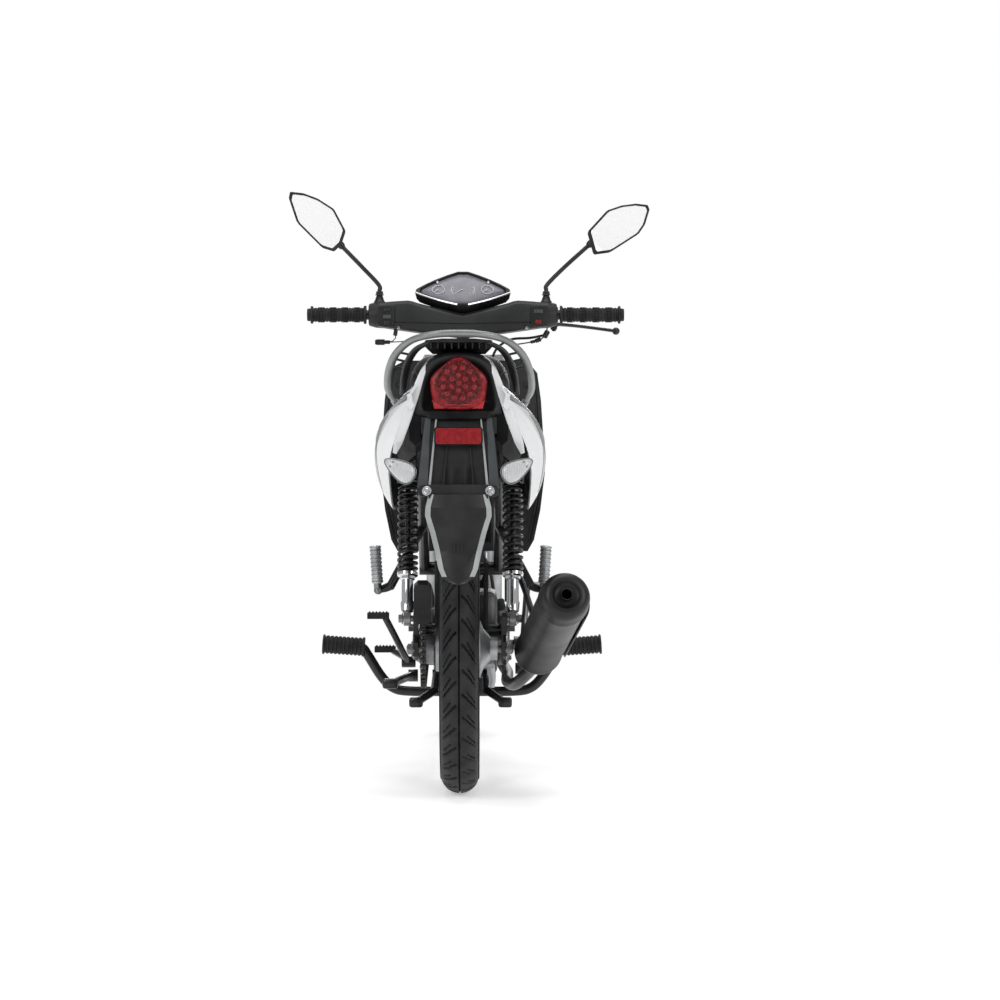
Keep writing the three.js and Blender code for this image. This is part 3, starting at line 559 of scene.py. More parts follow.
def add_tyre(name, node, body, centre, width, steps):
    """A tyre with a round crown, cut tread, shouldered side walls and a bead."""
    radius = centre.z
    half = width / 2
    bead = 0.229
    crown_height = 0.038
    belly = radius - crown_height
    across = [math.radians(-90 + 180 * i / 56) for i in range(57)]
    crown = [(half * math.sin(u), belly + crown_height * max(0.0, math.cos(u)) ** 0.92) for u in across]
    left_wall = [(-0.019, bead), (-0.024, bead + 0.001), (-half + 0.006, bead + 0.008),
                 (-half + 0.0012, belly - 0.006)]
    right_wall = [(-x, r) for x, r in reversed(left_wall)]
    profile = left_wall + crown + right_wall
    rings = []
    for i in range(steps):
        angle = 2 * math.pi * i / steps
        along = angle * radius
        ring = []
        for x, r in profile:
            cut = groove_depth(x, along, half) if r > belly + 0.004 else 0.0
            r -= cut
            ring.append(centre + Vector((x, r * math.cos(angle), r * math.sin(angle))))
        rings.append(ring)
    bm = bmesh.new()
    loft(bm, rings, looped=True)
    for side in (-1, 1):
        for r in (0.2405, 0.256):
            x = side * (half - 0.0003 if r > 0.25 else half - 0.0035)
            band = [(x, r - 0.0012), (x + side * 0.0012, r), (x, r + 0.0012), (x - side * 0.003, r)]
            loft(bm, [[centre + Vector((px, pr * math.cos(a), pr * math.sin(a))) for px, pr in band]
                      for a in circle(96)], looped=True)
    finish(name, bm, body, "tyre", [node], smooth=50)


def wheel_ring(bm, centre, profile, segments=128, material=0):
    """A ring round the axle line from a closed profile of (x, radius) points."""
    rings = [[centre + Vector((x, r * math.cos(a), r * math.sin(a))) for x, r in profile]
             for a in circle(segments)]
    loft(bm, rings, looped=True, material=material)


def add_rim(name, node, body, centre, hub_half, bore):
    """A cast wheel with flanged rim, drum hub and six waisted spokes."""
    bm = bmesh.new()
    edge, well = 0.0275, 0.012
    wheel_ring(bm, centre, [
        (-edge + 0.005, 0.2275), (-edge + 0.004, 0.2345), (-edge + 0.0065, 0.2352), (-0.0185, 0.2278),
        (-well, 0.214), (well, 0.214), (0.0185, 0.2278), (edge - 0.0065, 0.2352), (edge - 0.004, 0.2345),
        (edge - 0.005, 0.2275), (0.017, 0.2135), (0.010, 0.2055), (-0.010, 0.2055), (-0.017, 0.2135),
    ])
    h = hub_half
    wheel_ring(bm, centre, [
        (-h, bore), (-h, 0.050), (-h + 0.003, 0.058), (-h + 0.010, 0.0635), (-0.012, 0.0635),
        (-0.008, 0.060),
        (0.008, 0.060), (0.012, 0.0635), (h - 0.010, 0.0635), (h - 0.003, 0.058), (h, 0.050), (h, bore),
    ], 96)
    finish(name, bm, body, "wheel_alloy", [node], smooth=35)
    bm = bmesh.new()
    for i in range(6):
        angle = (i + 0.5) * math.pi / 3
        turn = Matrix.Rotation(angle, 3, "X")
        rings = []
        for r, half_width, half_depth in ((0.055, 0.024, 0.016), (0.085, 0.015, 0.013),
                                          (0.14, 0.011, 0.0105),
                                          (0.185, 0.012, 0.0105), (0.208, 0.021, 0.0125)):
            section = [(half_depth * math.copysign(abs(math.cos(a)) ** 0.6, math.cos(a)),
                        half_width * math.copysign(abs(math.sin(a)) ** 0.6, math.sin(a)))
                       for a in (2 * math.pi * (k + 0.5) / 20 for k in range(20))]
            rings.append([centre + turn @ Vector((x, y, r)) for x, y in section])
        loft(bm, rings)
    finish(name + "_spokes", bm, body, "wheel_alloy", smooth=60)


def add_wheels():
    """Both wheels with their tyres and spindles, and the parts on the hubs."""
    add_tyre("rear_tyre_tread", "rear_tyre", "rear_wheel", REAR_AXLE, 0.075, 864)
    add_tyre("front_tyre_tread", "front_tyre", "front_wheel", FRONT_AXLE, 0.065, 560)
    add_rim("rear_wheel_casting", "rear_rim", "rear_wheel", REAR_AXLE, 0.034, 0.0085)
    add_rim("front_wheel_casting", "front_rim", "front_wheel", FRONT_AXLE, 0.030, 0.0075)
    for node, name, half, radius, body in (("rear_axle", "rear_spindle", 0.106, 0.007, "swingarm_body"),
                                           ("front_axle", "front_spindle", 0.100, 0.006, "fork_slider")):
        centre = middle(node)
        bm = bmesh.new()
        reach = Vector((half, 0, 0))
        cylinder(bm, centre - reach, centre + reach, radius, 24)
        for side in (-1, 1):
            inner = centre + Vector((side * (half - 0.012), 0, 0))
            hex_bolt(bm, inner, Vector((side, 0, 0)), radius + 0.005, 0.010)
        finish(name, bm, body, "steel", [node])
    add_rear_hub()
    add_front_brake()


def add_rear_hub():
    """The sprocket carrier on the left of the hub and its toothed sprocket, and the brake plate on the
    right."""
    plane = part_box("rear_sprocket")[0].x + 0.0035
    add_sprocket("rear_sprocket_teeth", "rear_sprocket", "rear_wheel", Vector((plane, *REAR_AXLE.yz)),
                 0.0665, 34, 0.0088)
    bm = bmesh.new()
    wheel_ring(bm, REAR_AXLE, [(-0.0345, 0.0085), (-0.0345, 0.046), (-0.048, 0.044), (-0.052, 0.030),
                               (-0.0675, 0.030), (-0.0675, 0.0085)], 64)
    for k in range(6):
        angle = math.pi * k / 3
        spot = REAR_AXLE + Vector((-0.0755, 0.040 * math.cos(angle), 0.040 * math.sin(angle)))
        hex_bolt(bm, spot, Vector((-1, 0, 0)), 0.005, 0.004)
    finish("sprocket_carrier", bm, "rear_wheel", "cast_alloy")
    bm = bmesh.new()
    wheel_ring(bm, REAR_AXLE, [(0.0355, 0.0085), (0.0355, 0.056), (0.040, 0.056), (0.046, 0.040),
                               (0.060, 0.024), (0.074, 0.022), (0.074, 0.0085)], 64)
    lever = [REAR_AXLE + mm(60, 12, -34), REAR_AXLE + mm(64, 20, -60), REAR_AXLE + mm(62, 24, -78)]
    tube(bm, lever, [0.009, 0.007, 0.006], squeeze=0.5)
    cylinder(bm, REAR_AXLE + mm(44, 8, -30), REAR_AXLE + mm(68, 8, -30), 0.009)
    finish("rear_brake_plate", bm, "swingarm_body", "cast_alloy")


def add_front_brake():
    """The front drum's brake plate on the right. The arm that the cable pulls isn't drawn."""
    bm = bmesh.new()
    wheel_ring(bm, FRONT_AXLE, [(0.0312, 0.0075), (0.0312, 0.055), (0.036, 0.055), (0.041, 0.038),
                                (0.050, 0.022), (0.051, 0.0075)], 64)
    finish("front_brake_plate", bm, "fork_slider", "cast_alloy")


def add_sprocket(name, node, body, centre, radius, teeth, bore):
    """A flat toothed wheel with chamfered teeth and a round bore."""
    half = 0.0032
    outline = []
    for i in range(teeth * 6):
        angle = 2 * math.pi * i / (teeth * 6)
        tooth = (0.0, 0.0012, 0.0034, 0.0038, 0.0034, 0.0012)[i % 6]
        outline.append((angle, radius - 0.002 + tooth))
    bm = bmesh.new()
    rings = []
    for x, inset in ((-half, 0.0012), (-half + 0.001, 0), (half - 0.001, 0), (half, 0.0012)):
        rings.append([centre + Vector((x, (r - inset) * math.cos(a), (r - inset) * math.sin(a))) for a,
                      r in outline])
    inner = [[centre + Vector((x, bore * math.cos(a), bore * math.sin(a))) for a, r in outline]
             for x in (half, -half)]
    loft(bm, rings + inner, looped=True)
    finish(name, bm, body, "steel", [node], smooth=30)


# Chain drive, swingarm and shock absorbers ----------------------------------------
CHAIN_PITCH = 0.0127


def belt_path(offset):
    """Points one chain pitch apart round both sprockets, at a distance outside their rims."""
    front_low, front_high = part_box("front_sprocket")
    rear = Vector((REAR_AXLE.y, REAR_AXLE.z))
    front = ((front_low + front_high) / 2).yz
    rear_radius = 0.066 + offset
    front_radius = (front_high.y - front_low.y) / 2 + offset
    span = front - rear
    tilt = math.atan2(span.y, span.x)
    wrap = math.acos((rear_radius - front_radius) / span.length)
    fine = []
    for centre, radius, start, end in ((front, front_radius, tilt - wrap, tilt + wrap),
                                       (rear, rear_radius, tilt + wrap, tilt + 2 * math.pi - wrap)):
        fine += [centre + Vector((math.cos(a), math.sin(a))) * radius
                 for a in (start + (end - start) * i / 60 for i in range(61))]
    fine.append(fine[0])
    lengths = [0.0]
    for a, b in zip(fine, fine[1:]):
        lengths.append(lengths[-1] + (b - a).length)
    count = 2 * round(lengths[-1] / CHAIN_PITCH / 2)
    points = []
    k = 0
    for i in range(count):
        goal = lengths[-1] * i / count
        while lengths[k + 1] < goal:
            k += 1
        share = (goal - lengths[k]) / (lengths[k + 1] - lengths[k])
        points.append(fine[k].lerp(fine[k + 1], share))
    return points


def add_chain():
    """Roller chain: pairs of waisted side plates, alternately inside and outside, with rollers between
    them."""
    low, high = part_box("drive_chain")
    x = (low.x + high.x) / 2
    points = belt_path(0.0073)
    bm = bmesh.new()
    for i, here in enumerate(points):
        after = points[(i + 1) % len(points)]
        along = (after - here).normalized()
        across = Vector((-along.y, along.x))
        offset = 0.0046 if i % 2 else 0.0034
        pitch = (after - here).length
        outline = [(pitch + 0.0042 * math.cos(a), 0.0042 * math.sin(a)) for a in (-1.2, -0.4, 0.4, 1.2)]
        outline += [(pitch / 2, 0.0030)] + [(-u + pitch, w) for u, w in reversed(outline)]
        outline += [(pitch / 2, -0.0030)]
        ordered = sorted(outline, key=lambda p: math.atan2(p[1], p[0] - pitch / 2))
        for side in (-1, 1):
            def place(u, w, d, side=side, offset=offset, here=here, along=along, across=across):
                flat = here + along * u + across * w
                return Vector((x + side * (offset + d), flat.x, flat.y))
            prism(bm, ordered, place, 0.0011)
        centre = Vector((x, here.x, here.y))
        cylinder(bm, centre - Vector((0.0033, 0, 0)), centre + Vector((0.0033, 0, 0)), 0.0038, 10, 0.0002)
    piece = finish("drive_chain_links", bm, None, "chain_steel", ["drive_chain"], smooth=30)
    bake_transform(piece)
    add_sprocket("front_sprocket_teeth", "front_sprocket", "front_sprocket_body", middle("front_sprocket"),
                 0.0255, 13, 0.0098)


def add_chain_guard():
    """An open-bottomed guard with a deep rear end and stiffening beads."""
    low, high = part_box("chain_guard")
    bm = bmesh.new()

    def section(y, z0, z1):
        """The guard's open-bottomed outline at y, between two heights."""
        outline = [(low.x, z0), (low.x, z1 - 0.008), (low.x + 0.008, z1), (high.x - 0.008, z1),
                   (high.x, z1 - 0.008), (high.x, z0), (high.x - 0.002, z0), (high.x - 0.002, z1 - 0.010),
                   (high.x - 0.009, z1 - 0.002),
                   (low.x + 0.009, z1 - 0.002), (low.x + 0.002, z1 - 0.010), (low.x + 0.002, z0)]
        return [Vector((x, y, z)) for x, z in outline]

    loft(bm, [section(-0.095, 0.374, 0.405), section(-0.088, 0.368, 0.417), section(-0.06, 0.366, 0.424),
              section(0.05, 0.362, 0.414), section(0.18, 0.356, 0.398), section(0.30, 0.352, 0.384)])
    half_width = (high.x - low.x) / 2
    rounded_plate(bm, Vector((low.x + half_width, -0.0945, 0.3780)), half_width, 0.039, 0.010, 0.004)
    for y in (0.0, 0.09, 0.18):
        z = 0.42 - (y + 0.06) * 0.11
        block(bm, (low.x - 0.0015, y, z - 0.034), (low.x + 0.001, y + 0.05, z - 0.029))
        block(bm, (low.x - 0.0015, y, z - 0.022), (low.x + 0.001, y + 0.05, z - 0.017))
    finish("chain_case", bm, "swingarm_body", "black_plastic", ["chain_guard"], smooth=40, bevel=0.0008)


def shock_foot(side):
    """The middle of a shock absorber's lower eye."""
    return Vector((side * 0.105, 0.015, 0.344))


def add_swingarm():
    """Box-section arms with rounded ends, a cross tube, chain adjusters and the shock studs."""
    pivot_z = 0.300
    bm = bmesh.new()
    for side in (-1, 1):
        x0, x1 = sorted((side * 0.082, side * 0.094))
        stations = [(-0.030, REAR_AXLE.z + 0.001, 0.014), (-0.016, REAR_AXLE.z, 0.0205),
                    (0.02, REAR_AXLE.z + 0.006, 0.027),
                    (0.07, REAR_AXLE.z + 0.004, 0.022), (0.20, 0.292, 0.020), (0.34, 0.297, 0.022),
                    (0.42, pivot_z, 0.024), (0.440, pivot_z, 0.021), (0.449, pivot_z, 0.012)]
        rings = []
        for y, z, half in stations:
            edge = 0.003
            rings.append([Vector((x, y, z + dz)) for x, dz in (
                (x0 + edge, -half), (x1 - edge, -half), (x1, -half + edge), (x1, half - edge),
                (x1 - edge, half), (x0 + edge, half), (x0, half - edge), (x0, -half + edge))])
        loft(bm, rings)
        foot = shock_foot(side)
        lug = [(-0.012, -0.035), (0.018, -0.035), (0.012, 0.004), (0.006, 0.012), (-0.006, 0.012),
               (-0.012, 0.004)]
        prism(bm, lug, lambda a, b, d, x0=x0, foot=foot: Vector((x0 + 0.001 + d, foot.y + a, foot.z + b)),
              0.010)
    cylinder(bm, Vector((-0.088, 0.322, 0.29)), Vector((0.088, 0.322, 0.29)), 0.012)
    finish("swingarm_forging", bm, "swingarm_body", "black_paint", ["swingarm"], smooth=40, bevel=0.001)
    bm = bmesh.new()
    for side in (-1, 1):
        stud = Vector((side * 0.093, *shock_foot(side).yz))
        cylinder(bm, stud, stud + Vector((side * 0.024, 0, 0)), 0.0063, 24)
        hex_bolt(bm, stud + Vector((side * 0.0205, 0, 0)), Vector((side, 0, 0)), 0.009, 0.009)
        adjuster = Vector((side * 0.0945, -0.006, REAR_AXLE.z))
        block(bm, adjuster + Vector((-0.0012, -0.024, -0.013)), adjuster + Vector((0.0012, 0.026, 0.013)))
        cylinder(bm, adjuster + Vector((0, -0.04, 0)), adjuster + Vector((0, -0.02, 0)), 0.003, 12)
        cylinder(bm, adjuster + Vector((0, -0.033, 0)), adjuster + Vector((0, -0.026, 0)), 0.0058, 6)
    finish("swingarm_fasteners", bm, "swingarm_body", "steel", smooth=35)


def add_shock(name, side):
    """A rear shock: chrome lower body with its eye, black coil spring, and black upper cap and eye."""
    foot = shock_foot(side)
    top = Vector((side * 0.105, 0.105, 0.622))
    along = top - foot
    length = along.length
    direction = along.normalized()
    across, up = basis(direction)

    def at(share):
        """A point at a share of the way from the foot to the top."""
        return foot + along * share

    bm = bmesh.new()
    wire, coil, turns, steps = 0.0033, 0.0180, 12.6, 440
    start, end = 0.334, 0.922
    rings = []
    for i in range(steps + 1):
        share = i / steps
        ease = share - 0.035 * math.sin(2 * math.pi * share)
        angle = 2 * math.pi * turns * share
        centre = at(start + (end - start) * ease) + (across * math.cos(angle) + up * math.sin(angle)) * coil
        radial = across * math.cos(angle) + up * math.sin(angle)
        rings.append([centre + radial * (wire * math.cos(a)) + direction * (wire * math.sin(a))
                      for a in circle(12)])
    loft(bm, rings)
    spring = finish(f"shock_coil_{name}", bm, f"shock_upper_{name}_body", "black_paint",
                    [f"shock_spring_{name}"], smooth=60)
    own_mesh(spring)

    bm = bmesh.new()
    revolve(bm, foot, top, [(0.040 * length, 0.0085), (0.05 * length, 0.0125), (0.11 * length, 0.0135),
                            (0.125 * length, 0.0115),
                            (0.27 * length, 0.0115), (0.275 * length, 0.0145), (0.292 * length, 0.0155),
                            (0.300 * length, 0.0205),
                            (0.318 * length, 0.0212), (0.324 * length, 0.020), (0.326 * length, 0.0125),
                            (0.335 * length, 0.0118),
                            (0.49 * length, 0.0112), (0.50 * length, 0.010), (0.50 * length, 0.0056)], 48)
    finish(f"shock_body_{name}", bm, f"shock_lower_{name}_body", "chrome", [f"shock_lower_{name}"],
           smooth=30)
    bm = bmesh.new()
    reach = Vector((0.0075, 0, 0))
    eye_ring(bm, foot, 0.0145, 0.0078, 0.0072)
    finish(f"shock_foot_eye_{name}", bm, f"shock_lower_{name}_body", "steel", smooth=30)

    bm = bmesh.new()
    cylinder(bm, at(0.36), at(0.94), 0.005, 16)
    revolve(bm, foot, top, [(0.922 * length, 0.0125), (0.924 * length, 0.0205), (0.928 * length, 0.0212),
                            (0.945 * length, 0.0212),
                            (0.952 * length, 0.0195), (0.957 * length, 0.012), (0.966 * length, 0.010)], 48)
    eye_ring(bm, top, 0.0145, 0.0076, 0.0072)
    finish(f"shock_cap_{name}", bm, f"shock_upper_{name}_body", "black_paint", [f"shock_upper_{name}"],
           smooth=30)
    bm = bmesh.new()
    outer = top + Vector((side * 0.0135, 0, 0))
    hex_bolt(bm, outer - reach * 0.4 * side, Vector((side, 0, 0)), 0.0085, 0.009)
    finish(f"shock_top_nut_{name}", bm, "chassis", "chrome", smooth=35)


def eye_ring(bm, centre, outer, inner, half):
    """A round eye about a bolt that runs along X."""
    wheel_ring(bm, centre, [(-half, inner), (-half, outer - 0.001), (-half + 0.001, outer),
                            (half - 0.001, outer), (half, outer - 0.001), (half, inner)], 36)


# Exhaust -------------------------------------------------------------------------
def add_exhaust():
    """The silencer with its end cap, heat shield and clamp, its hanger, and the bent down pipe."""
    front = mm(155, 64, 274)
    back = mm(202, -394, 413.5)
    direction = (back - front).normalized()
    length = (back - front).length
    outward = Vector((1, 0, 0.18)).normalized()
    outward = (outward - direction * outward.dot(direction)).normalized()
    sideways = direction.cross(outward)
    bm = bmesh.new()
    revolve(bm, front, back, [
        (-0.052, 0.0155), (-0.050, 0.018), (-0.046, 0.0200), (-0.004, 0.0450), (0.004, 0.0475),
        (0.008, 0.0482),
        (0.014, 0.0482), (0.016, 0.0472), (length - 0.060, 0.0472), (length - 0.058, 0.0488),
        (length - 0.050, 0.0490),
        (length - 0.046, 0.0476), (length - 0.022, 0.0470), (length - 0.010, 0.0440),
        (length - 0.003, 0.0385),
        (length, 0.0320), (length, 0.0270), (length - 0.004, 0.0235), (length - 0.0065, 0.0180),
        (length - 0.0065, 0.0125),
        (length + 0.004, 0.0118), (length + 0.0055, 0.0110), (length + 0.0045, 0.0098),
        (length - 0.05, 0.0095),
    ], 72)
    finish("muffler_shell", bm, "chassis", "muffler_black", ["muffler"], smooth=35)
    # A black disc a little way into the outlet bore: painted shade inside the pipe.
    bm = bmesh.new()
    cylinder(bm, back - direction * 0.052, back - direction * 0.049, 0.0094, 24)
    finish("muffler_outlet_painted_shade", bm, "chassis", "deep_black")

    bm = bmesh.new()
    rings = []
    for share in (0.16, 0.18, 0.3, 0.5, 0.7, 0.82, 0.84):
        spread = 34 if share in (0.16, 0.84) else 44
        centre = front.lerp(back, share)
        ring = []
        for radius, sign in ((0.0535, 1), (0.0505, -1)):
            for k in range(13):
                angle = math.radians(sign * (-spread + 2 * spread * k / 12))
                ring.append(centre + (outward * math.cos(angle) + sideways * math.sin(angle)) * radius)
        rings.append(ring)
    loft(bm, rings)
    finish("muffler_heat_shield", bm, "chassis", "black_plastic", smooth=40, bevel=0.0006)
    bm = bmesh.new()
    for share in (0.24, 0.76):
        spot = front.lerp(back, share) + outward * 0.0530
        hex_bolt(bm, spot, outward, 0.0045, 0.004)
    revolve(bm, front - direction * 0.062, front - direction * 0.044,
            [(0, 0.0155), (0.001, 0.0180), (0.017, 0.0180), (0.018, 0.0155)], 32)
    finish("muffler_fasteners", bm, "chassis", "steel", smooth=35)

    bm = bmesh.new()
    hanger = [mm(150, -8, 330), mm(138, 30, 372), mm(120, 100, 420), mm(92, 180, 470)]
    tube(bm, hanger, 0.006, 12, 8)
    finish("muffler_hanger", bm, "chassis", "black_paint")
    bm = bmesh.new()
    route = [mm(60, 838, 247), mm(88, 800, 195), mm(97, 700, 187), mm(97, 560, 187), mm(97, 420, 187),
             mm(112, 250, 196), mm(146, 118, 238)]
    tube(bm, route, 0.0128, 28, 14)
    finish("down_pipe", bm, "chassis", "muffler_black", ["exhaust_pipe"])


# Tail: mudguard, lights, indicators and grab rail ------------------------------------
def shield_row(z, half, y, hollow=0.006):
    """A row of points across the mudguard, a little hollowed behind its centre line."""
    return [Vector((half * t, y + hollow * (1 - t * t) * 0.5, z)) for t in (-1, -0.75, -0.5, -0.25, 0, 0.25,
                                                                            0.5, 0.75, 1)]


def add_mudguard():
    """The upright mudguard panel with its side strips, a pale painted highlight strip inside each, and its
    ribs, and then the parts that it carries.
    """
    thick = Vector((0, 0.004, 0))
    bm = bmesh.new()
    rows = [(0.742, 0.0640, -0.322), (0.700, 0.0690, -0.340), (0.655, 0.0740, -0.352),
            (0.618, 0.0775, -0.357), (0.600, 0.0775, -0.359)]
    front = [shield_row(z, half, y) for z, half, y in rows]
    for face in (front, [[p + thick for p in row] for row in front]):
        grid = [[bm.verts.new(p) for p in row] for row in face]
        for a, b in zip(grid, grid[1:]):
            for i in range(len(a) - 1):
                bm.faces.new((a[i], a[i + 1], b[i + 1], b[i]))
    for row in (front[0], front[-1]):
        for p, q in zip(row, row[1:]):
            bm.faces.new([bm.verts.new(v) for v in (p, q, q + thick, p + thick)])
    for end in (0, -1):
        for a, b in zip(front, front[1:]):
            p, q = a[end], b[end]
            bm.faces.new([bm.verts.new(v) for v in (p, q, q + thick, p + thick)])
    finish("mudguard_panel", bm, "chassis", "black_plastic", ["rear_fender"], smooth=40)

    bm = bmesh.new()
    for side in (-1, 1):
        # The narrow inner strip in pale grey is a painted highlight beside the wider dark side strip.
        strip(bm, side, 0.0405, 0.0435, 0.0520, 0.0570, 0.742, 0.612, 0.0035, 1)
        strip(bm, side, 0.0525, 0.0630, 0.0580, 0.0770, 0.742, 0.612, 0.0020, 0)
    finish("mudguard_strips", bm, "chassis", ["side_strip", "painted_highlight_grey"], smooth=40, bevel=0.0006)
    bm = bmesh.new()
    for side in (-1, 1):
        strip(bm, side, 0.0205, 0.0225, 0.0270, 0.0300, 0.690, 0.612, 0.0030, 0)
    for x in (-0.0125, 0.0125):
        block(bm, (x - 0.001, -0.3665, 0.612), (x + 0.001, -0.357, 0.655))
    finish("mudguard_ribs", bm, "chassis", "black_plastic", smooth=40, bevel=0.0006)
    add_reflector()
    add_plate_bracket()
    add_flap()


def add_reflector():
    """The red reflector and its dark frame, high on the mudguard panel."""
    bm = bmesh.new()
    centre = Vector((0.0, -0.352, 0.7085))
    rounded_plate(bm, centre + Vector((0, 0.002, 0)), 0.0455, 0.0175, 0.006, 0.006)
    finish("reflector_frame", bm, "chassis", "deep_black", bevel=0.0008)
    bm = bmesh.new()
    rounded_plate(bm, centre + Vector((0, -0.003, 0)), 0.0430, 0.0150, 0.005, 0.004)
    finish("reflector_lens", bm, "chassis", "reflector_red", bevel=0.001)


def add_plate_bracket():
    """The bar for a number plate, with its two feet and two chrome bolts."""
    bm = bmesh.new()
    bar = Vector((0, -0.372, 0.6065))
    rounded_plate(bm, bar, 0.0760, 0.0115, 0.010, 0.005)
    block(bm, (-0.055, -0.376, 0.598), (-0.035, -0.352, 0.612))
    block(bm, (0.035, -0.376, 0.598), (0.055, -0.352, 0.612))
    finish("plate_bracket", bm, "chassis", "black_paint", bevel=0.001)
    bm = bmesh.new()
    for side in (-1, 1):
        spot = bar + Vector((side * 0.059, -0.005, 0))
        cylinder(bm, spot, spot + Vector((0, -0.0015, 0)), 0.0088, 32)
        revolve(bm, spot + Vector((0, -0.0015, 0)), spot + Vector((0, -0.007, 0)),
                [(0, 0.0056), (0.0038, 0.0056), (0.0055, 0.0040)], 24)
    finish("plate_bolts", bm, "chassis", "chrome", smooth=35)


def strip(bm, side, top_in, top_out, low_in, low_out, z_top, z_low, thick, material):
    """A raised strip down one side of the mudguard panel."""
    def depth(z):
        """Where the mudguard panel's face is at a height."""
        return -0.322 - 0.037 * min(1.0, (0.742 - z) / 0.124) ** 0.75 - 0.001
    rings = []
    for i in range(9):
        z = z_top + (z_low - z_top) * i / 8
        share = i / 8
        inner = top_in + (low_in - top_in) * share
        outer = top_out + (low_out - top_out) * share
        y = depth(z)
        rings.append([Vector((side * inner, y + 0.003, z)), Vector((side * outer, y + 0.003, z)),
                      Vector((side * outer, y - thick, z)), Vector((side * inner, y - thick, z))])
    loft(bm, rings, material=material)


def rounded_plate(bm, centre, half_x, half_z, corner, thick):
    """A plate that faces backwards, with round corners."""
    outline = rounded_outline((0, 0), (half_x - corner, half_z - corner), corner, 6)
    prism(bm, outline, lambda a, b, d: Vector((centre.x + a, centre.y - d, centre.z + b)), thick)


def add_flap():
    """The mud flap: a black tongue with a raised middle and bevelled edges down both sides, whose pale grey
    is a painted highlight.
    """
    rows = [(0.600, 0.0560, -0.378), (0.575, 0.0620, -0.384), (0.560, 0.0625, -0.388),
            (0.530, 0.0530, -0.397),
            (0.495, 0.0440, -0.408), (0.462, 0.0370, -0.418), (0.448, 0.0310, -0.422),
            (0.438, 0.0180, -0.425), (0.434, 0.0060, -0.426)]
    bm = bmesh.new()
    rings = []
    for z, half, y in rows:
        inset = min(0.010, half * 0.5)
        rings.append([Vector((x, y + dy, z)) for x, dy in (
            (-half, 0.001), (-half + inset, -0.006), (-half * 0.25, -0.0085), (half * 0.25, -0.0085),
            (half - inset, -0.006), (half, 0.001), (half - 0.001, 0.004), (-half + 0.001, 0.004))])
    loft(bm, rings)
    # The side-facing bevel faces take the pale grey: a painted highlight along both edges.
    for face in bm.faces:
        centre = face.calc_center_median()
        face.normal_update()
        reach = max((half for z, half, y in rows if abs(z - centre.z) < 0.03), default=0.06)
        if abs(centre.x) > reach * 0.72 and abs(face.normal.x) > 0.3 and centre.z > 0.45:
            face.material_index = 1
    for x in (-0.007, 0.007):
        block(bm, (x - 0.0016, -0.4185, 0.490), (x + 0.0016, -0.411, 0.512))
    finish("mud_flap", bm, "chassis", ["black_plastic", "painted_highlight_grey"], smooth=30, bevel=0.0008)
    bm = bmesh.new()
    block(bm, (-0.056, -0.382, 0.592), (0.056, -0.356, 0.600))
    finish("mud_flap_neck", bm, "chassis", "black_plastic", bevel=0.001)


TAIL_LIGHT_OUTLINE = [(0.0, 0.8600), (0.011, 0.8570), (0.026, 0.8450), (0.045, 0.8290), (0.0545, 0.8180),
                      (0.0545, 0.8030), (0.0510, 0.7780), (0.0470, 0.7545)]


def mirrored(outline):
    """A closed outline from its right half, listed from top to bottom on the centre line."""
    return outline + [(-x, z) for x, z in reversed(outline) if x > 0]


def add_tail_light():
    """A domed red lens with a round dark centre, rings of lamp cells and pale corner reflectors."""
    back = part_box("tail_light")[1].y
    outline = mirrored(TAIL_LIGHT_OUTLINE)
    centre_z = 0.806
    bm = bmesh.new()
    rings = []
    for scale, y in ((0.97, 0.0), (1.0, -0.002), (1.0, -0.0115), (0.975, -0.0165), (0.90, -0.0195),
                     (0.76, -0.0205), (0.5, -0.021), (0.02, -0.021)):
        rings.append([Vector((x * scale, back + y, centre_z + (z - centre_z) * scale)) for x, z in outline])
    loft(bm, rings)
    finish("tail_lens", bm, "chassis", "lens_red", ["tail_light"], smooth=55, levels=1)

    centre = Vector((0, back - 0.0205, 0.8085))
    bm = bmesh.new()
    revolve(bm, centre, centre + Vector((0, -0.004, 0)), [(-0.003, 0.043), (0.0008, 0.0428), (0.0018, 0.041),
                                                          (0.0024, 0.03), (0.0027, 0.01), (0.0027, 0)], 64)
    finish("tail_lens_disc", bm, "chassis", "lens_dark_red", smooth=40)
    bm = bmesh.new()
    for count, radius in ((1, 0.0), (6, 0.0145), (12, 0.0300)):
        for k in range(count):
            angle = 2 * math.pi * (k + 0.5) / count
            spot = centre + Vector((radius * math.cos(angle), -0.0018, radius * math.sin(angle)))
            revolve(bm, spot, spot + Vector((0, -0.003, 0)), [(0, 0.0052), (0.0006, 0.0050),
                                                              (0.0014, 0.0038), (0.0018, 0.0015),
                                                              (0.0019, 0)], 20)
    for k in range(28):
        angle = 2 * math.pi * k / 28
        spot = centre + Vector((0.0412 * math.cos(angle), -0.0002, 0.0412 * math.sin(angle)))
        revolve(bm, spot, spot + Vector((0, -0.003, 0)), [(0, 0.0022), (0.0010, 0.0019), (0.0016, 0.0008),
                                                          (0.0017, 0)], 10)
    finish("tail_lamp_cells", bm, "chassis", "lens_red", smooth=50)
    bm = bmesh.new()
    for side in (-1, 1):
        corner = [(0.0455, 0.760), (0.0500, 0.778), (0.0415, 0.770), (0.0250, 0.760)]
        prism(bm, corner, lambda a, b, d, side=side: Vector((side * a, back - 0.0150 - d, b)), 0.0045)
    finish("tail_corner_reflectors", bm, "chassis", "lens_pink", bevel=0.0006)
    bm = bmesh.new()
    for z, half in ((0.7615, 0.020), (0.7675, 0.026), (0.7735, 0.022)):
        block(bm, (-half, back - 0.0222, z - 0.0010), (half, back - 0.019, z + 0.0010))
    finish("tail_lens_ribs", bm, "chassis", "lens_pink", bevel=0.0005)


